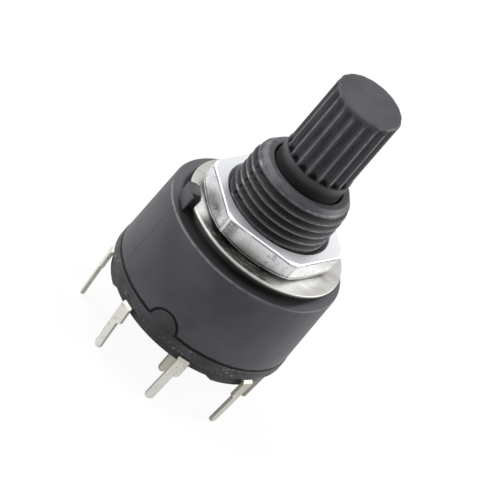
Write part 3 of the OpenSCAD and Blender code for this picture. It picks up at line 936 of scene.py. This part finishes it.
def zincPlate():
    m = zincLook
    finish = Finish("zincPlate", Metallic=1.0)
    finish.measure()
    turn, out, high = finish.turn, finish.out, finish.high
    cloud = finish.noise(420, 4, 0.6)
    mottle = finish.noise(2600, 3, 0.6, twist=0.6).ramp(0.5, 0.72)
    worn = cloud.ramp(0.48, 0.62) * mottle
    fine = finish.noise(16000, 2)
    rolled = finish.noise(3000, 3, 0.7, at=finish.stretched(1.0, 1.0, 2.5))

    # milled sides, darker than the top and lighter upwards as painted shade, and a painted sheen on the
    # near side of the top
    facet = out.ramp(*m["facetR"]) * high.between(*m["facetZ"])
    milled = (cloud * 0.6 + fine * 0.4 + (high - 1.3) * 0.08).ramp(0.35, 0.65)
    plain = finish.blend(facet * 0.85, m["bright"], finish.blend(milled, m["facet"], m["bright"]))
    near = high.ramp(*m["nearZ"]) * finish.facing(*m["nearSide"]) * (0.55 + 0.45 * cloud)
    plain = finish.blend(near, plain, m["near"])

    # painted highlights on the corners, weaker on one side, scuffs beside one of them, a painted shadow
    # line under the lower chamfer and a dark line at the top
    sixths = turn * 6 - nutForm["cornerAngle"] / 60
    cornerHighlight = (abs(sixths - sixths.calc("ROUND", sixths)) * 60).drop(*m["ridgeHalf"])
    cornerHighlight = cornerHighlight * facet * (0.5 + 0.5 * rolled) * (1 - 0.7 * (turn * 360).ramp(*m["ridgeFades"]))
    corner = finish.facing(*m["scuffSide"]) * facet * rolled.ramp(0.32, 0.5)
    patch = finish.facing(*m["patchSide"]) * facet * high.near(*m["patchZ"])
    corner = corner.most(patch * (0.3 + 0.6 * finish.noise(7000, 2, 0.6).ramp(0.4, 0.6)))
    chamfer = nutForm["low"] + (out - nutForm["faceR"]) * tan(radians(nutForm["slope"]))
    over = high - chamfer + 0.12 * (rolled - 0.5)
    # painted shadow under the lower chamfer
    under = over.near(*m["chamferLine"]).most(over.drop(0.0, 0.06)) * out.ramp(5.3, 5.4)
    streak = facet * (high - 0.12 * cloud).near(*m["topLine"]) * cloud.ramp(0.4, 0.52)

    scuffsAndShadow = (worn * (0.15 + facet * 0.65)).most(corner * 0.8).most(under * 0.9).most(streak * 0.8)
    shade = finish.blend(cornerHighlight, finish.blend(scuffsAndShadow, plain, m["stain"]), m["cornerHighlight"])
    finish.give("Base Color", shade)
    finish.give("Roughness", 0.38 + 0.12 * cloud + worn * 0.15)
    finish.relief(mottle * 0.7 + fine * 0.3 + cloud, 0.004, 0.6)
    return finish


zinc = zincPlate()


def makeNut():
    n = nutForm
    half = n["flats"] / 2
    slope = tan(radians(n["slope"]))

    def hexR(a):
        swing = away(a, n["cornerAngle"]) % radians(60)
        swing = min(swing, radians(60) - swing)      # from the nearest corner
        return min(half / cos(radians(30) - swing), n["cornerR"])

    def lowZ(r):
        return n["low"] + max(0, (r - n["faceR"]) * slope)

    def highZ(r):
        return n["high"] - max(0, (r - n["topR"]) * slope)

    def edgeRow(share, top):
        e, z, t = n["edge"], highZ if top else lowZ, share

        def row(a):
            r = hexR(a)
            inner = Vector((r - e, z(r - e)))
            corner = Vector((r, z(r)))
            side = Vector((r, z(r) - e if top else z(r) + e))
            return tuple(inner * (1 - t) ** 2 + corner * 2 * t * (1 - t) + side * t * t)
        return row

    def chamferRow(top):
        limit = n["topR"] if top else n["faceR"]

        def row(a):
            r = min(limit, hexR(a) - n["edge"] - 0.01)
            return r, (n["high"] if top else n["low"])
        return row

    def boreR(a, z, depth):
        chamfer = n["boreChamfer"] - min(z - n["low"], n["high"] - z) * n["boreSlope"]
        return max(chamfer, housing["crestR"] + n["gap"] - depth * n["engaged"])

    shares = [k / n["edgeSteps"] for k in range(n["edgeSteps"] + 1)]
    rows = turned((n["boreChamfer"], n["low"])) + [chamferRow(False)]
    rows += [edgeRow(t, False) for t in shares] + [edgeRow(t, True) for t in shares[::-1]]
    rows += [chamferRow(True)] + turned((n["boreChamfer"], n["high"]))
    rows += threadRows(n["low"], n["high"], boreR)[::-1]
    corners = []
    for k in range(6):
        middle = n["cornerAngle"] + 60 * k
        corners += [middle] + [middle + side * d for d in n["cornerColumns"] for side in (-1, 1)]
    return lathed("plainNut", rows, columns(n["columns"], corners), zinc, 20.0)


nutPiece = makeNut()
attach(nutPiece, "nut")
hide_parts("hex_nut")
print("nut made", len(nutPiece.data.polygons))


seatLow, seatHigh = nodeBox("keyed_washer")
washerForm = {
    "outer": 7.1,
    "hole": 4.77,
    "shift": 0.27,        # it lies this far off the axis, away from the key
    "low": seatLow.z,
    "high": seatHigh.z,
    "edge": 0.05,
    "notchFloor": 5.95,
    "notchNear": -1.8,
    "notchFar": 0.05,
    "flare": 1.5,
    "flareStep": 0.005,
    "points": 200,
    "holePoints": 160,
}
nickelLook = {
    "bright": (0.46, 0.46, 0.44, 1),
    "stain": (0.34, 0.32, 0.30, 1),
    # painted shadow of the nut, also the painted dark reflection on the rim
    "nutShadow": (0.03, 0.026, 0.022, 1),
    "bandSide": (-110.16, 26, 42),       # degrees
    "bandR": (6.82, 6.98),
    # where the painted dark reflection on the rim lies
    "edgeR": (7.03, 7.07),
    "edgeZ": (0.18, 0.24),
}


def nickelPlate():
    m = nickelLook
    finish = Finish("nickelPlate", Metallic=1.0)
    finish.measure()
    turn, out, high = finish.turn, finish.out, finish.high
    key = radians(keyBlock["angle"])
    ownX = finish.x + washerForm["shift"] * cos(key)
    ownY = finish.y + washerForm["shift"] * sin(key)
    own = (ownX ** 2.0 + ownY ** 2.0) ** 0.5         # distance from the washer's own middle
    cloud = finish.noise(500, 3, 0.6)
    brushed = finish.noise(3200, 3, 0.7, at=finish.stretched(1.0, 0.12, 1.0))
    scratched = finish.noise(1500, 4, 0.7, at=finish.stretched(0.12, 1.0, 1.0)).ramp(0.54, 0.6)
    plain = finish.blend(cloud.ramp(0.4, 0.75) * 0.6, m["bright"], m["stain"])
    plain = finish.blend(scratched * 0.35, plain, m["stain"])
    # painted shadow of the nut in a streaked ring on one side, and a painted dark reflection on the lower
    # part of the rim
    rings = finish.noise(1.0, 3, 0.7, at=finish.joined(turn * 60, out * 9, high))
    nutShadow = finish.facing(*m["bandSide"]) * (own + 0.35 * (rings - 0.5)).drop(*m["bandR"])
    nutShadow = nutShadow * (0.35 + 0.65 * rings.ramp(0.3, 0.5))
    darkEdgeReflection = own.ramp(*m["edgeR"]) * (high + 0.08 * brushed).drop(*m["edgeZ"])
    dark = nutShadow.most(darkEdgeReflection * 0.8).least(0.95)
    finish.give("Base Color", finish.blend(dark, plain, m["nutShadow"]))
    finish.give("Roughness", 0.4 + 0.1 * brushed + 0.06 * cloud + darkEdgeReflection * 0.2)
    finish.relief(brushed * 0.6 + cloud * 0.5, 0.004, 0.6)
    return finish


nickel = nickelPlate()


def washerLines():  # outline and hole, in the plane of the washer
    w = washerForm
    outer = w["outer"]
    floorX = w["notchFloor"] + w["shift"]         # from the washer's own middle
    nearX = sqrt(outer ** 2 - w["notchNear"] ** 2)
    # the flared side runs out from the notch's floor to the rim
    run = 0.0
    while hypot(floorX + run, w["notchFar"] + w["flare"] * run) < outer:
        run += w["flareStep"]
    start = atan2(w["notchFar"] + w["flare"] * run, floorX + run)
    stop = 2 * pi + atan2(w["notchNear"], nearX)
    turns = [start + (stop - start) * k / w["points"] for k in range(w["points"] + 1)]
    rim = [(outer * cos(a), outer * sin(a)) for a in turns]
    rim += [(floorX, w["notchNear"]), (floorX, w["notchFar"])]
    turns = [2 * pi * k / w["holePoints"] for k in range(w["holePoints"])]
    hole = [(w["hole"] * cos(a), w["hole"] * sin(a)) for a in turns]
    place = Matrix.Rotation(radians(keyBlock["angle"]), 4, "Z") @ Matrix.Translation((-w["shift"], 0, 0))
    return [[(place @ Vector((x, y, 0)))[:2] for x, y in line] for line in (rim, hole)]


def makeWasher():
    w = washerForm
    curve = bpy.data.curves.new("washerBlank", "CURVE")
    curve.dimensions = "2D"
    curve.fill_mode = "BOTH"
    for line in washerLines():
        spline = curve.splines.new("POLY")
        spline.points.add(len(line) - 1)
        for point, (x, y) in zip(spline.points, line):
            point.co = (x, y, 0, 1)
        spline.use_cyclic_u = True
    curve.extrude = (w["high"] - w["low"]) / 2 - w["edge"]
    curve.bevel_depth = w["edge"]
    curve.bevel_resolution = 2
    curve.offset = -w["edge"]
    blank = linked("washerBlank", curve)
    bpy.context.view_layer.update()
    flat = evaluatedMesh(blank)
    bpy.data.objects.remove(blank)
    bm = bmesh.new()
    bm.from_mesh(flat)
    bmesh.ops.translate(bm, verts=bm.verts, vec=(0, 0, (w["high"] + w["low"]) / 2))
    bmesh.ops.remove_doubles(bm, verts=bm.verts, dist=1e-4)
    bmesh.ops.recalc_face_normals(bm, faces=bm.faces)
    return meshFrom("keyedWasher", bm, nickel, 35.0)


washerPiece = makeWasher()
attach(washerPiece, "washer")
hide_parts("keyed_washer")
print("washer made", len(washerPiece.data.polygons))


baseLow, baseHigh = nodeBox("base_plate")
baseForm = {
    "flangeR": (baseHigh.x - baseLow.x) / 2,
    "topZ": housing["seamZ"] + 0.5,
    "seamZ": housing["seamZ"],
    "flangeZ": housing["seamZ"] - 0.9,
    "blockR": (baseHigh.x - baseLow.x) / 2 - 0.5,
    "blockZ": baseLow.z + 0.3,
    "footZ": baseLow.z,
    "footW": 0.9,
    "footClear": 40.0,
    "footSlope": 5.0,     # degrees over which a foot comes down
    "spigotR": housing["cavityR"] - 0.05,
    "lugR": 1.27,
    "lugOut": housing["seamR"] - 0.03,
    "lugIn": housing["cavityR"] - 0.55,
    "lugEdge": 0.05,
    "holeR": 1.3,
    "edge": 0.09,
    "footEdge": 0.06,
    "columns": 240,
}
baseMarks = {
    "chip": linear(135, 134, 136),
    "stain": linear(18, 18, 19),
    "flangeR": (8.0, 8.05),
    "flangeZ": (-1.0, -0.8, -0.06, 0.0),     # heights over the seam
    "stainZ": (-0.75, -0.25),
}


def baseLook():  # pale chips and darker stains along the flange
    m = baseMarks
    finish = mouldedPlastic(
        "baseMoulding", dark=linear(40, 40, 42), light=linear(70, 70, 73), roughness=0.45, gloss=0.22,
        grain=0.08, grainDepth=0.009)
    above = finish.high - baseForm["seamZ"]
    flange = finish.out.ramp(*m["flangeR"]) * above.between(*m["flangeZ"])
    chips = finish.noise(4800, 3, 0.6).ramp(0.58, 0.64) * flange * finish.noise(420, 1).ramp(0.45, 0.6)
    stained = flange * finish.noise(1400, 4, 0.65).ramp(0.5, 0.66) * above.drop(*m["stainZ"])
    shade = finish.blend(stained * 0.55, finish.colour, m["stain"])
    finish.give("Base Color", finish.blend(chips * 0.7, shade, m["chip"]))
    return finish


baseFinish = baseLook()


def makeBase():
    b = baseForm
    lugs = housing["lugs"]

    def lugRow(r, low, sink=0.0):
        def row(a):
            rise = lugHeight(a, max(r, b["spigotR"]), b["lugR"], lugs)
            return r, max(low, b["seamZ"] + rise - sink if rise else low)
        return row

    def footRow(r):
        def row(a):
            past = min(abs(degrees(away(a, lug))) for lug in lugs) - b["footClear"]
            share = min(max(past / b["footSlope"], 0), 1)
            return r, b["blockZ"] + (b["footZ"] - b["blockZ"]) * share
        return row

    e, footR = b["edge"], b["blockR"] - b["footW"]
    rows = turned((b["holeR"], b["topZ"]), (b["holeR"], b["blockZ"]), (footR, b["blockZ"]))
    rows += [footRow(footR), footRow(b["blockR"] - b["footEdge"])]
    rows += [lambda a: (b["blockR"], footRow(0)(a)[1] + b["footEdge"])]
    rows += turned(*roundCorners([
        (b["blockR"], b["flangeZ"] - 0.2, 0),
        (b["blockR"], b["flangeZ"], b["footEdge"]),
        (b["flangeR"], b["flangeZ"], e),
        (b["flangeR"], b["seamZ"], e),
        (b["lugOut"], b["seamZ"], 0),
    ]))
    rows += [lugRow(b["lugOut"], b["seamZ"], b["lugEdge"]), lugRow(b["lugOut"] - b["lugEdge"], b["seamZ"]),
             lugRow(b["spigotR"], b["seamZ"]), lugRow(b["spigotR"], b["topZ"]),
             lugRow(b["lugIn"], b["topZ"])]
    rows += turned((b["lugIn"], b["topZ"]), (b["holeR"], b["topZ"]))
    edges = [lug + side * (b["footClear"] + d)
             for lug in lugs for side in (-1, 1) for d in (0, b["footSlope"])]
    angles = columns(b["columns"], lugColumns(lugs, b["lugR"], b["lugOut"]) + edges)
    return lathed("baseMoulded", rows, angles, baseFinish)


basePiece = makeBase()
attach(basePiece, "case")
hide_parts("base_plate")
print("base made", len(basePiece.data.polygons))


pinLow = nodeBox("terminal_1")[0]
riserR = baseForm["spigotR"] - 0.67
strip = {
    "thick": 0.3,
    "edge": 0.05,
    "pinR": baseForm["flangeR"] + 0.05,
    "bendR": 0.45,
    "innerBend": 0.22,
    "stripZ": baseForm["flangeZ"] - 0.15,
    "padZ": baseForm["topZ"],
    "padR": riserR - 1.9,
    "riserR": riserR,
    "padTo": riserR - 0.35,
    "padW": 1.9,
    "shoulderW": 1.06,
    "tailW": 0.73,
    "stepZ": baseForm["footZ"] - 0.75,
    "stepH": 0.3,
    "stepRows": (0.4, 0.06, -0.03, -0.26, -0.35, -1.4),      # heights over the step's top
    "tipZ": pinLow.z + 0.025,    # leaves room for the slant of the leaning pins' ends
    "tipHalf": 0.03,             # half the width at the very tip
    "tipTurns": (20, 38, 54, 66, 76, 84),                    # degrees round the tip
    "commonR": riserR - 1.9 - 1.1,
    "commonAngle": -80.0,
    "ringLap": 0.1,              # how far the common ring reaches past its pin
    "ringHole": 1.7,
    "ringColumns": 96,
}
# how each run of terminals leans, and which edge its step is on
terminalRuns = [
    {"first": 1, "count": 2, "lean": 4.0, "side": 1},
    {"first": 3, "count": 2, "lean": 8.0, "side": 1},
    {"first": 5, "count": 4, "lean": 4.0, "side": -1},
]
tinLook = {
    "bright": (0.52, 0.51, 0.47, 1),
    # painted light on the pins at the left
    "pale": (0.80, 0.79, 0.75, 1),
    "warm": (0.45, 0.41, 0.33, 1),
    # pits, and painted shade on the bends and the common pin
    "pitsAndShade": (0.28, 0.26, 0.20, 1),
    "cut": (0.12, 0.11, 0.08, 1),
    "shoulderZ": (-10.9, -10.2),
    "bendZ": (-9.35, -9.1),
    "leftX": (-5, 5),
    "innerR": (4.5, 5.5),
}


def tinPlate():
    m = tinLook
    finish = Finish("tinPlate", Metallic=1.0)
    finish.measure()
    cloud = finish.noise(700, 3, 0.6)
    drawn = finish.noise(5200, 2, 0.6, at=finish.stretched(1.0, 1.0, 0.12))
    pitted = finish.noise(4200, 3, 0.7).ramp(0.56, 0.68)
    # painted shade on the top of the bends, and on the common pin in the middle
    bend = finish.high.ramp(*m["bendZ"])
    inner = finish.out.drop(*m["innerR"]) * (0.4 + 0.5 * drawn)
    shade = finish.blend(finish.high.ramp(*m["shoulderZ"]) * (0.35 + 0.6 * cloud), m["bright"], m["warm"])
    # painted light: pins on the left are paler
    shade = finish.blend(finish.x.drop(*m["leftX"]) * (0.5 + 0.5 * cloud), shade, m["pale"])
    shade = finish.blend((pitted * 0.7).most(bend * 0.4).most(inner), shade, m["pitsAndShade"])
    cut = finish.add("ShaderNodeAttribute", {"attribute_name": "cutEdge"}, out="Fac")
    finish.give("Base Color", finish.blend(cut * (0.4 + 0.5 * cloud), shade, m["cut"]))
    finish.give("Roughness", 0.34 + 0.14 * drawn + 0.05 * cloud)
    finish.relief(drawn * 0.6 + cloud * 0.4, 0.004, 0.6)
    return finish


tin = tinPlate()


def arcLine(x, z, r, start, stop, count):  # points on an arc, angles in degrees
    turns = [radians(start + (stop - start) * k / count) for k in range(count + 1)]
    return [(x + r * cos(a), z + r * sin(a)) for a in turns]


def pinSides(z, side):  # the two edges of a pin at height z
    s = strip
    half = s["shoulderW"] / 2
    low = s["tailW"] - half
    share = min(max((s["stepZ"] - z) / s["stepH"], 0), 1)
    left, right = -half, half + (low - half) * share
    tipMiddle = s["tailW"] / 2 - half
    tipR = s["tailW"] / 2
    drop = s["tipZ"] + tipR - z
    if drop > 0:
        reach = sqrt(max(tipR * tipR - drop * drop, s["tipHalf"] ** 2))
        left, right = tipMiddle - reach, tipMiddle + reach
    return (left, right) if side > 0 else (-right, -left)


def pinHeights():  # rows at the step, down the tail and round its end
    s = strip
    tipR = s["tailW"] / 2
    heights = [s["stepZ"] + rise for rise in s["stepRows"]] + [s["tipZ"] + tipR]
    heights += [s["tipZ"] + tipR * (1 - sin(radians(d))) for d in s["tipTurns"]]
    return heights + [s["tipZ"]]


def stripInto(bm, line):  # line holds (x, z, left, right) along the middle of the sheet
    half, edge = strip["thick"] / 2, strip["edge"]
    cut = bm.faces.layers.float.get("cutEdge") or bm.faces.layers.float.new("cutEdge")    # for the finish
    rings = []
    for i, (x, z, left, right) in enumerate(line):
        before, after = line[max(i - 1, 0)], line[min(i + 1, len(line) - 1)]
        along = Vector((after[0] - before[0], after[1] - before[1])).normalized()
        out = Vector((along.y, -along.x))
        e = min(edge, (right - left) * 0.3)
        section = [(-half, left + e), (-half + e, left), (half - e, left), (half, left + e),
                   (half, right - e), (half - e, right), (-half + e, right), (-half, right - e)]
        rings.append([bm.verts.new((x + out.x * d, y, z + out.y * d)) for d, y in section])
    for low, high in zip(rings, rings[1:]):
        for j in range(8):
            face = bm.faces.new((low[j], low[(j + 1) % 8], high[(j + 1) % 8], high[j]))
            face[cut] = 0.0 if j in (3, 7) else 1.0
    bm.faces.new(rings[0][::-1])[cut] = 1.0
    bm.faces.new(rings[-1])[cut] = 1.0
    bmesh.ops.recalc_face_normals(bm, faces=bm.faces)


def outerLine(lean, side):  # from the pad inside, down, under the flange, out and down the pin
    s = strip
    half = s["thick"] / 2
    pad, wide = s["padW"] / 2, s["shoulderW"] / 2
    b, o = s["innerBend"], s["bendR"] - half
    line = [(x, s["padZ"] - half, -pad, pad) for x in (s["padR"], s["padTo"])]
    riser = arcLine(s["riserR"] - half - b, s["padZ"] - half - b, b, 90, 0, 4)
    riser += arcLine(s["riserR"] - half + b, s["stripZ"] - half + b, b, 180, 270, 4)
    line += [(x, z, -wide, wide) for x, z in riser]
    bendX, bendZ = s["pinR"] - s["bendR"], s["stripZ"] - s["bendR"]
    bend = arcLine(bendX, bendZ, o, 90, -lean, 8)
    line += [(x, z) + pinSides(z, side) for x, z in bend]
    endX, endZ = bend[-1]
    for z in pinHeights():
        line.append((endX - (endZ - z) * tan(radians(lean)), z) + pinSides(z, side))
    return line


def ringTree():  # copies of one terminal round the axis
    tree, given = geometryTree("terminalRing", ["Count", "First Angle", "Step Angle"], whole=["Count"])
    spots = tree.add("GeometryNodeMeshLine", None, {"Count": given["Count"], "Offset": (0, 0, 0)})
    turn = given["First Angle"] + tree.add("GeometryNodeInputIndex") * given["Step Angle"]
    copies = tree.add("GeometryNodeInstanceOnPoints", None, {
        "Points": spots, "Instance": given["Geometry"], "Rotation": tree.joined(0.0, 0.0, turn)})
    closeTree(tree, copies, tin)
    return tree


def makeTerminals():
    tree = ringTree()
    whole = bmesh.new()
    for run in terminalRuns:
        bm = bmesh.new()
        stripInto(bm, outerLine(run["lean"], run["side"]))
        blank = meshFrom("terminalBlank", bm, tin)
        ring = runTree(blank, tree, {
            "Count": run["count"],
            "First Angle": radians(firstAngle + (run["first"] - 1) * 360 / steps),
            "Step Angle": 2 * pi / steps,
        })
        ring.transform(Matrix.Scale(1 / mm, 4))
        whole.from_mesh(ring)
        bpy.data.objects.remove(blank)
    return meshFrom("terminalRow", whole, tin, 40.0)


terminals = makeTerminals()
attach(terminals, "case")
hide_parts(*["terminal_%d" % n for n in range(1, steps + 1)])


def makeCommon():
    s = strip
    half = s["thick"] / 2
    x = s["commonR"] - half
    bm = bmesh.new()
    line = [(x, z) + pinSides(z, 1) for z in [s["padZ"] - half, baseForm["footZ"] - 0.2] + pinHeights()]
    stripInto(bm, line)
    spin(bm, s["commonAngle"])
    outerR, innerR, e = s["commonR"] + s["ringLap"], s["ringHole"], s["edge"]
    topZ, lowZ = s["padZ"], s["padZ"] - s["thick"]
    flat = roundCorners([
        (innerR, lowZ, 0), (outerR, lowZ, e), (outerR, topZ, e), (innerR, topZ, e), (innerR, lowZ, 0)])
    latheInto(bm, turned(*flat), columns(s["ringColumns"]))
    return meshFrom("commonContact", bm, tin, 40.0)


common = makeCommon()
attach(common, "case")
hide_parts("common_terminal")
print("terminals made", len(terminals.data.polygons), len(common.data.polygons))


springForm = {
    "coilR": 0.8,
    "wireR": 0.1,
    "turns": 4.0,
    "start": 2.9,         # its inner end, from the axis
    "angle": 45.0,
}


def steelFinish(name, colour, roughness):
    finish = Finish(name, Metallic=1.0)
    cloud = finish.noise(2200, 3)
    dull = tuple(0.8 * c for c in colour[:3]) + (1,)
    finish.give("Base Color", finish.blend(cloud * 0.5, colour, dull))
    finish.give("Roughness", roughness + 0.08 * cloud)
    finish.relief(finish.noise(20000, 2), 0.001, 0.4)
    return finish


wireSteel = steelFinish("springWire", (0.62, 0.63, 0.64, 1), 0.24)


def springTree():  # one coil laid along X, and a copy on the other side of the axis
    tree, given = geometryTree("detentSprings", [
        "Coil Radius", "Wire Radius", "Turns", "Length", "Start", "Height", "Angle"])
    coil = tree.add("GeometryNodeCurveSpiral", None, {
        "Resolution": 28, "Rotations": given["Turns"], "Start Radius": given["Coil Radius"],
        "End Radius": given["Coil Radius"], "Height": given["Length"]})
    section = tree.add("GeometryNodeCurvePrimitiveCircle", None, {
        "Resolution": 10, "Radius": given["Wire Radius"]})
    wire = tree.add("GeometryNodeCurveToMesh", None, {
        "Curve": coil, "Profile Curve": section, "Fill Caps": True})
    laid = tree.add("GeometryNodeTransform", None, {
        "Geometry": wire, "Rotation": (0, pi / 2, 0),
        "Translation": tree.joined(given["Start"], 0.0, given["Height"])})
    spots = tree.add("GeometryNodeMeshLine", None, {"Count": 2, "Offset": (0, 0, 0)})
    turn = given["Angle"] + tree.add("GeometryNodeInputIndex") * pi
    pair = tree.add("GeometryNodeInstanceOnPoints", None, {
        "Points": spots, "Instance": laid, "Rotation": tree.joined(0.0, 0.0, turn)})
    closeTree(tree, pair, wireSteel)
    return tree


def makeSprings():
    f = springForm
    low, high = nodeBox("detent_spring_1")
    outward = (high.x + low.x) / 2 / cos(radians(f["angle"]))
    host = linked("springHost", bpy.data.meshes.new("springHost"))
    mesh = runTree(host, springTree(), {
        "Coil Radius": f["coilR"] * mm,
        "Wire Radius": f["wireR"] * mm,
        "Turns": f["turns"],
        "Length": 2 * (outward - f["start"]) * mm,
        "Start": f["start"] * mm,
        "Height": (low.z + high.z) / 2 * mm,
        "Angle": radians(f["angle"]),
    })
    bpy.data.objects.remove(host)
    mesh.shade_smooth()
    return linked("detentSprings", mesh)


springs = makeSprings()
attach(springs, "rotor")
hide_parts("detent_spring_1", "detent_spring_2")
print("springs made", len(springs.data.polygons))


def carrierMoulding():
    finish = Finish("carrierMoulding", Specular_IOR_Level=0.5)
    cloud = finish.noise(900, 3)
    fibre = finish.noise(7000, 2, 0.6, at=finish.stretched(1.0, 0.3, 1.0))
    shade = finish.blend(cloud * 0.6 + fibre * 0.3, linear(48, 40, 34), linear(78, 66, 56))
    finish.give("Base Color", shade)
    finish.give("Roughness", 0.42 + 0.12 * fibre)
    finish.relief(fibre, 0.005, 0.5)
    return finish


def bronzeSheet():
    finish = Finish("bronzeSheet", Metallic=1.0)
    cloud = finish.noise(1100, 3)
    rolled = finish.noise(8000, 2, 0.6, at=finish.stretched(0.12, 1.0, 1.0))
    finish.give("Base Color", finish.blend(cloud * 0.7, (0.78, 0.50, 0.27, 1), (0.62, 0.36, 0.18, 1)))
    finish.give("Roughness", 0.22 + 0.12 * rolled)
    finish.relief(rolled, 0.003, 0.5)
    return finish


def dress(node, finish):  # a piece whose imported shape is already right
    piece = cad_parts[node]
    for slot in piece.material_slots:
        slot.material = finish.material
    if not piece.material_slots:
        piece.data.materials.append(finish.material)


dress("contact_carrier", carrierMoulding())
dress("wiper", bronzeSheet())
ballSteel = steelFinish("polishedSteel", (0.78, 0.79, 0.80, 1), 0.08)
dress("detent_ball_1", ballSteel)
dress("detent_ball_2", ballSteel)
print("inner pieces dressed")


stage = {
    "floorZ": pinLow.z - 0.02,
    "floorSize": 6000,
    "floorColour": (0.9, 0.9, 0.9, 1),
    "whiteShare": 0.92,   # how white the floor looks to the camera
    "world": 0.22,
}
lamps = [
    {"name": "overhead", "place": (-40, 0, 430), "size": 560, "power": 1.0},
    {"name": "behindLeft", "place": (-290, 240, 330), "size": 440, "power": 1.0},
    {"name": "behindRight", "place": (370, 130, 330), "size": 440, "power": 0.7},
    {"name": "leftSide", "place": (-400, 90, 170), "size": 340, "power": 1.6},
    {"name": "rightSide", "place": (390, 70, 170), "size": 340, "power": 1.9},
]


def seesWhite(tree):  # 1 for the camera's own rays and for what metal and glass mirror
    rays = tree.add("ShaderNodeLightPath").besides()
    return rays["Is Camera Ray"].most(rays["Is Glossy Ray"]).most(rays["Is Transmission Ray"])


def makeFloor():
    size = stage["floorSize"] * mm / 2
    z = stage["floorZ"] * mm
    mesh = bpy.data.meshes.new("floor")
    corners = [(-size, -size, z), (size, -size, z), (size, size, z), (-size, size, z)]
    mesh.from_pydata(corners, [], [(0, 1, 2, 3)])
    material = bpy.data.materials.new("paleFloor")
    material.use_nodes = True
    tree = Tree(material.node_tree)
    tree.nodeTree.nodes.clear()
    matt = tree.add("ShaderNodeBsdfDiffuse", None, {"Color": stage["floorColour"]})
    white = tree.add("ShaderNodeEmission", None, {"Color": (1, 1, 1, 1), "Strength": 1.0})
    mixed = tree.add("ShaderNodeMixShader", None, {
        "Fac": seesWhite(tree) * stage["whiteShare"], 1: matt, 2: white})
    tree.add("ShaderNodeOutputMaterial", None, {"Surface": mixed})
    mesh.materials.append(material)
    floorPiece = linked("floor", mesh)


def makeWorld():
    world = bpy.data.worlds.new("studio")
    world.use_nodes = True
    tree = Tree(world.node_tree)
    strength = seesWhite(tree) * (1 - stage["world"]) + stage["world"]
    background = tree.nodeTree.nodes["Background"].inputs
    tree.plug(background["Color"], (1, 1, 1, 1))
    tree.plug(background["Strength"], strength)
    bpy.context.scene.world = world


def makeLamps():
    for lamp in lamps:
        light = bpy.data.lights.new(lamp["name"], "AREA")
        light.shape = "DISK"
        light.size = lamp["size"] * mm
        light.energy = lamp["power"]
        linked(lamp["name"], light).matrix_world = aimed(Vector(lamp["place"]) * mm, Vector((0, 0, 0)))


makeFloor()
makeWorld()
makeLamps()
bpy.context.scene.view_settings.view_transform = "Standard"
print("stage set")
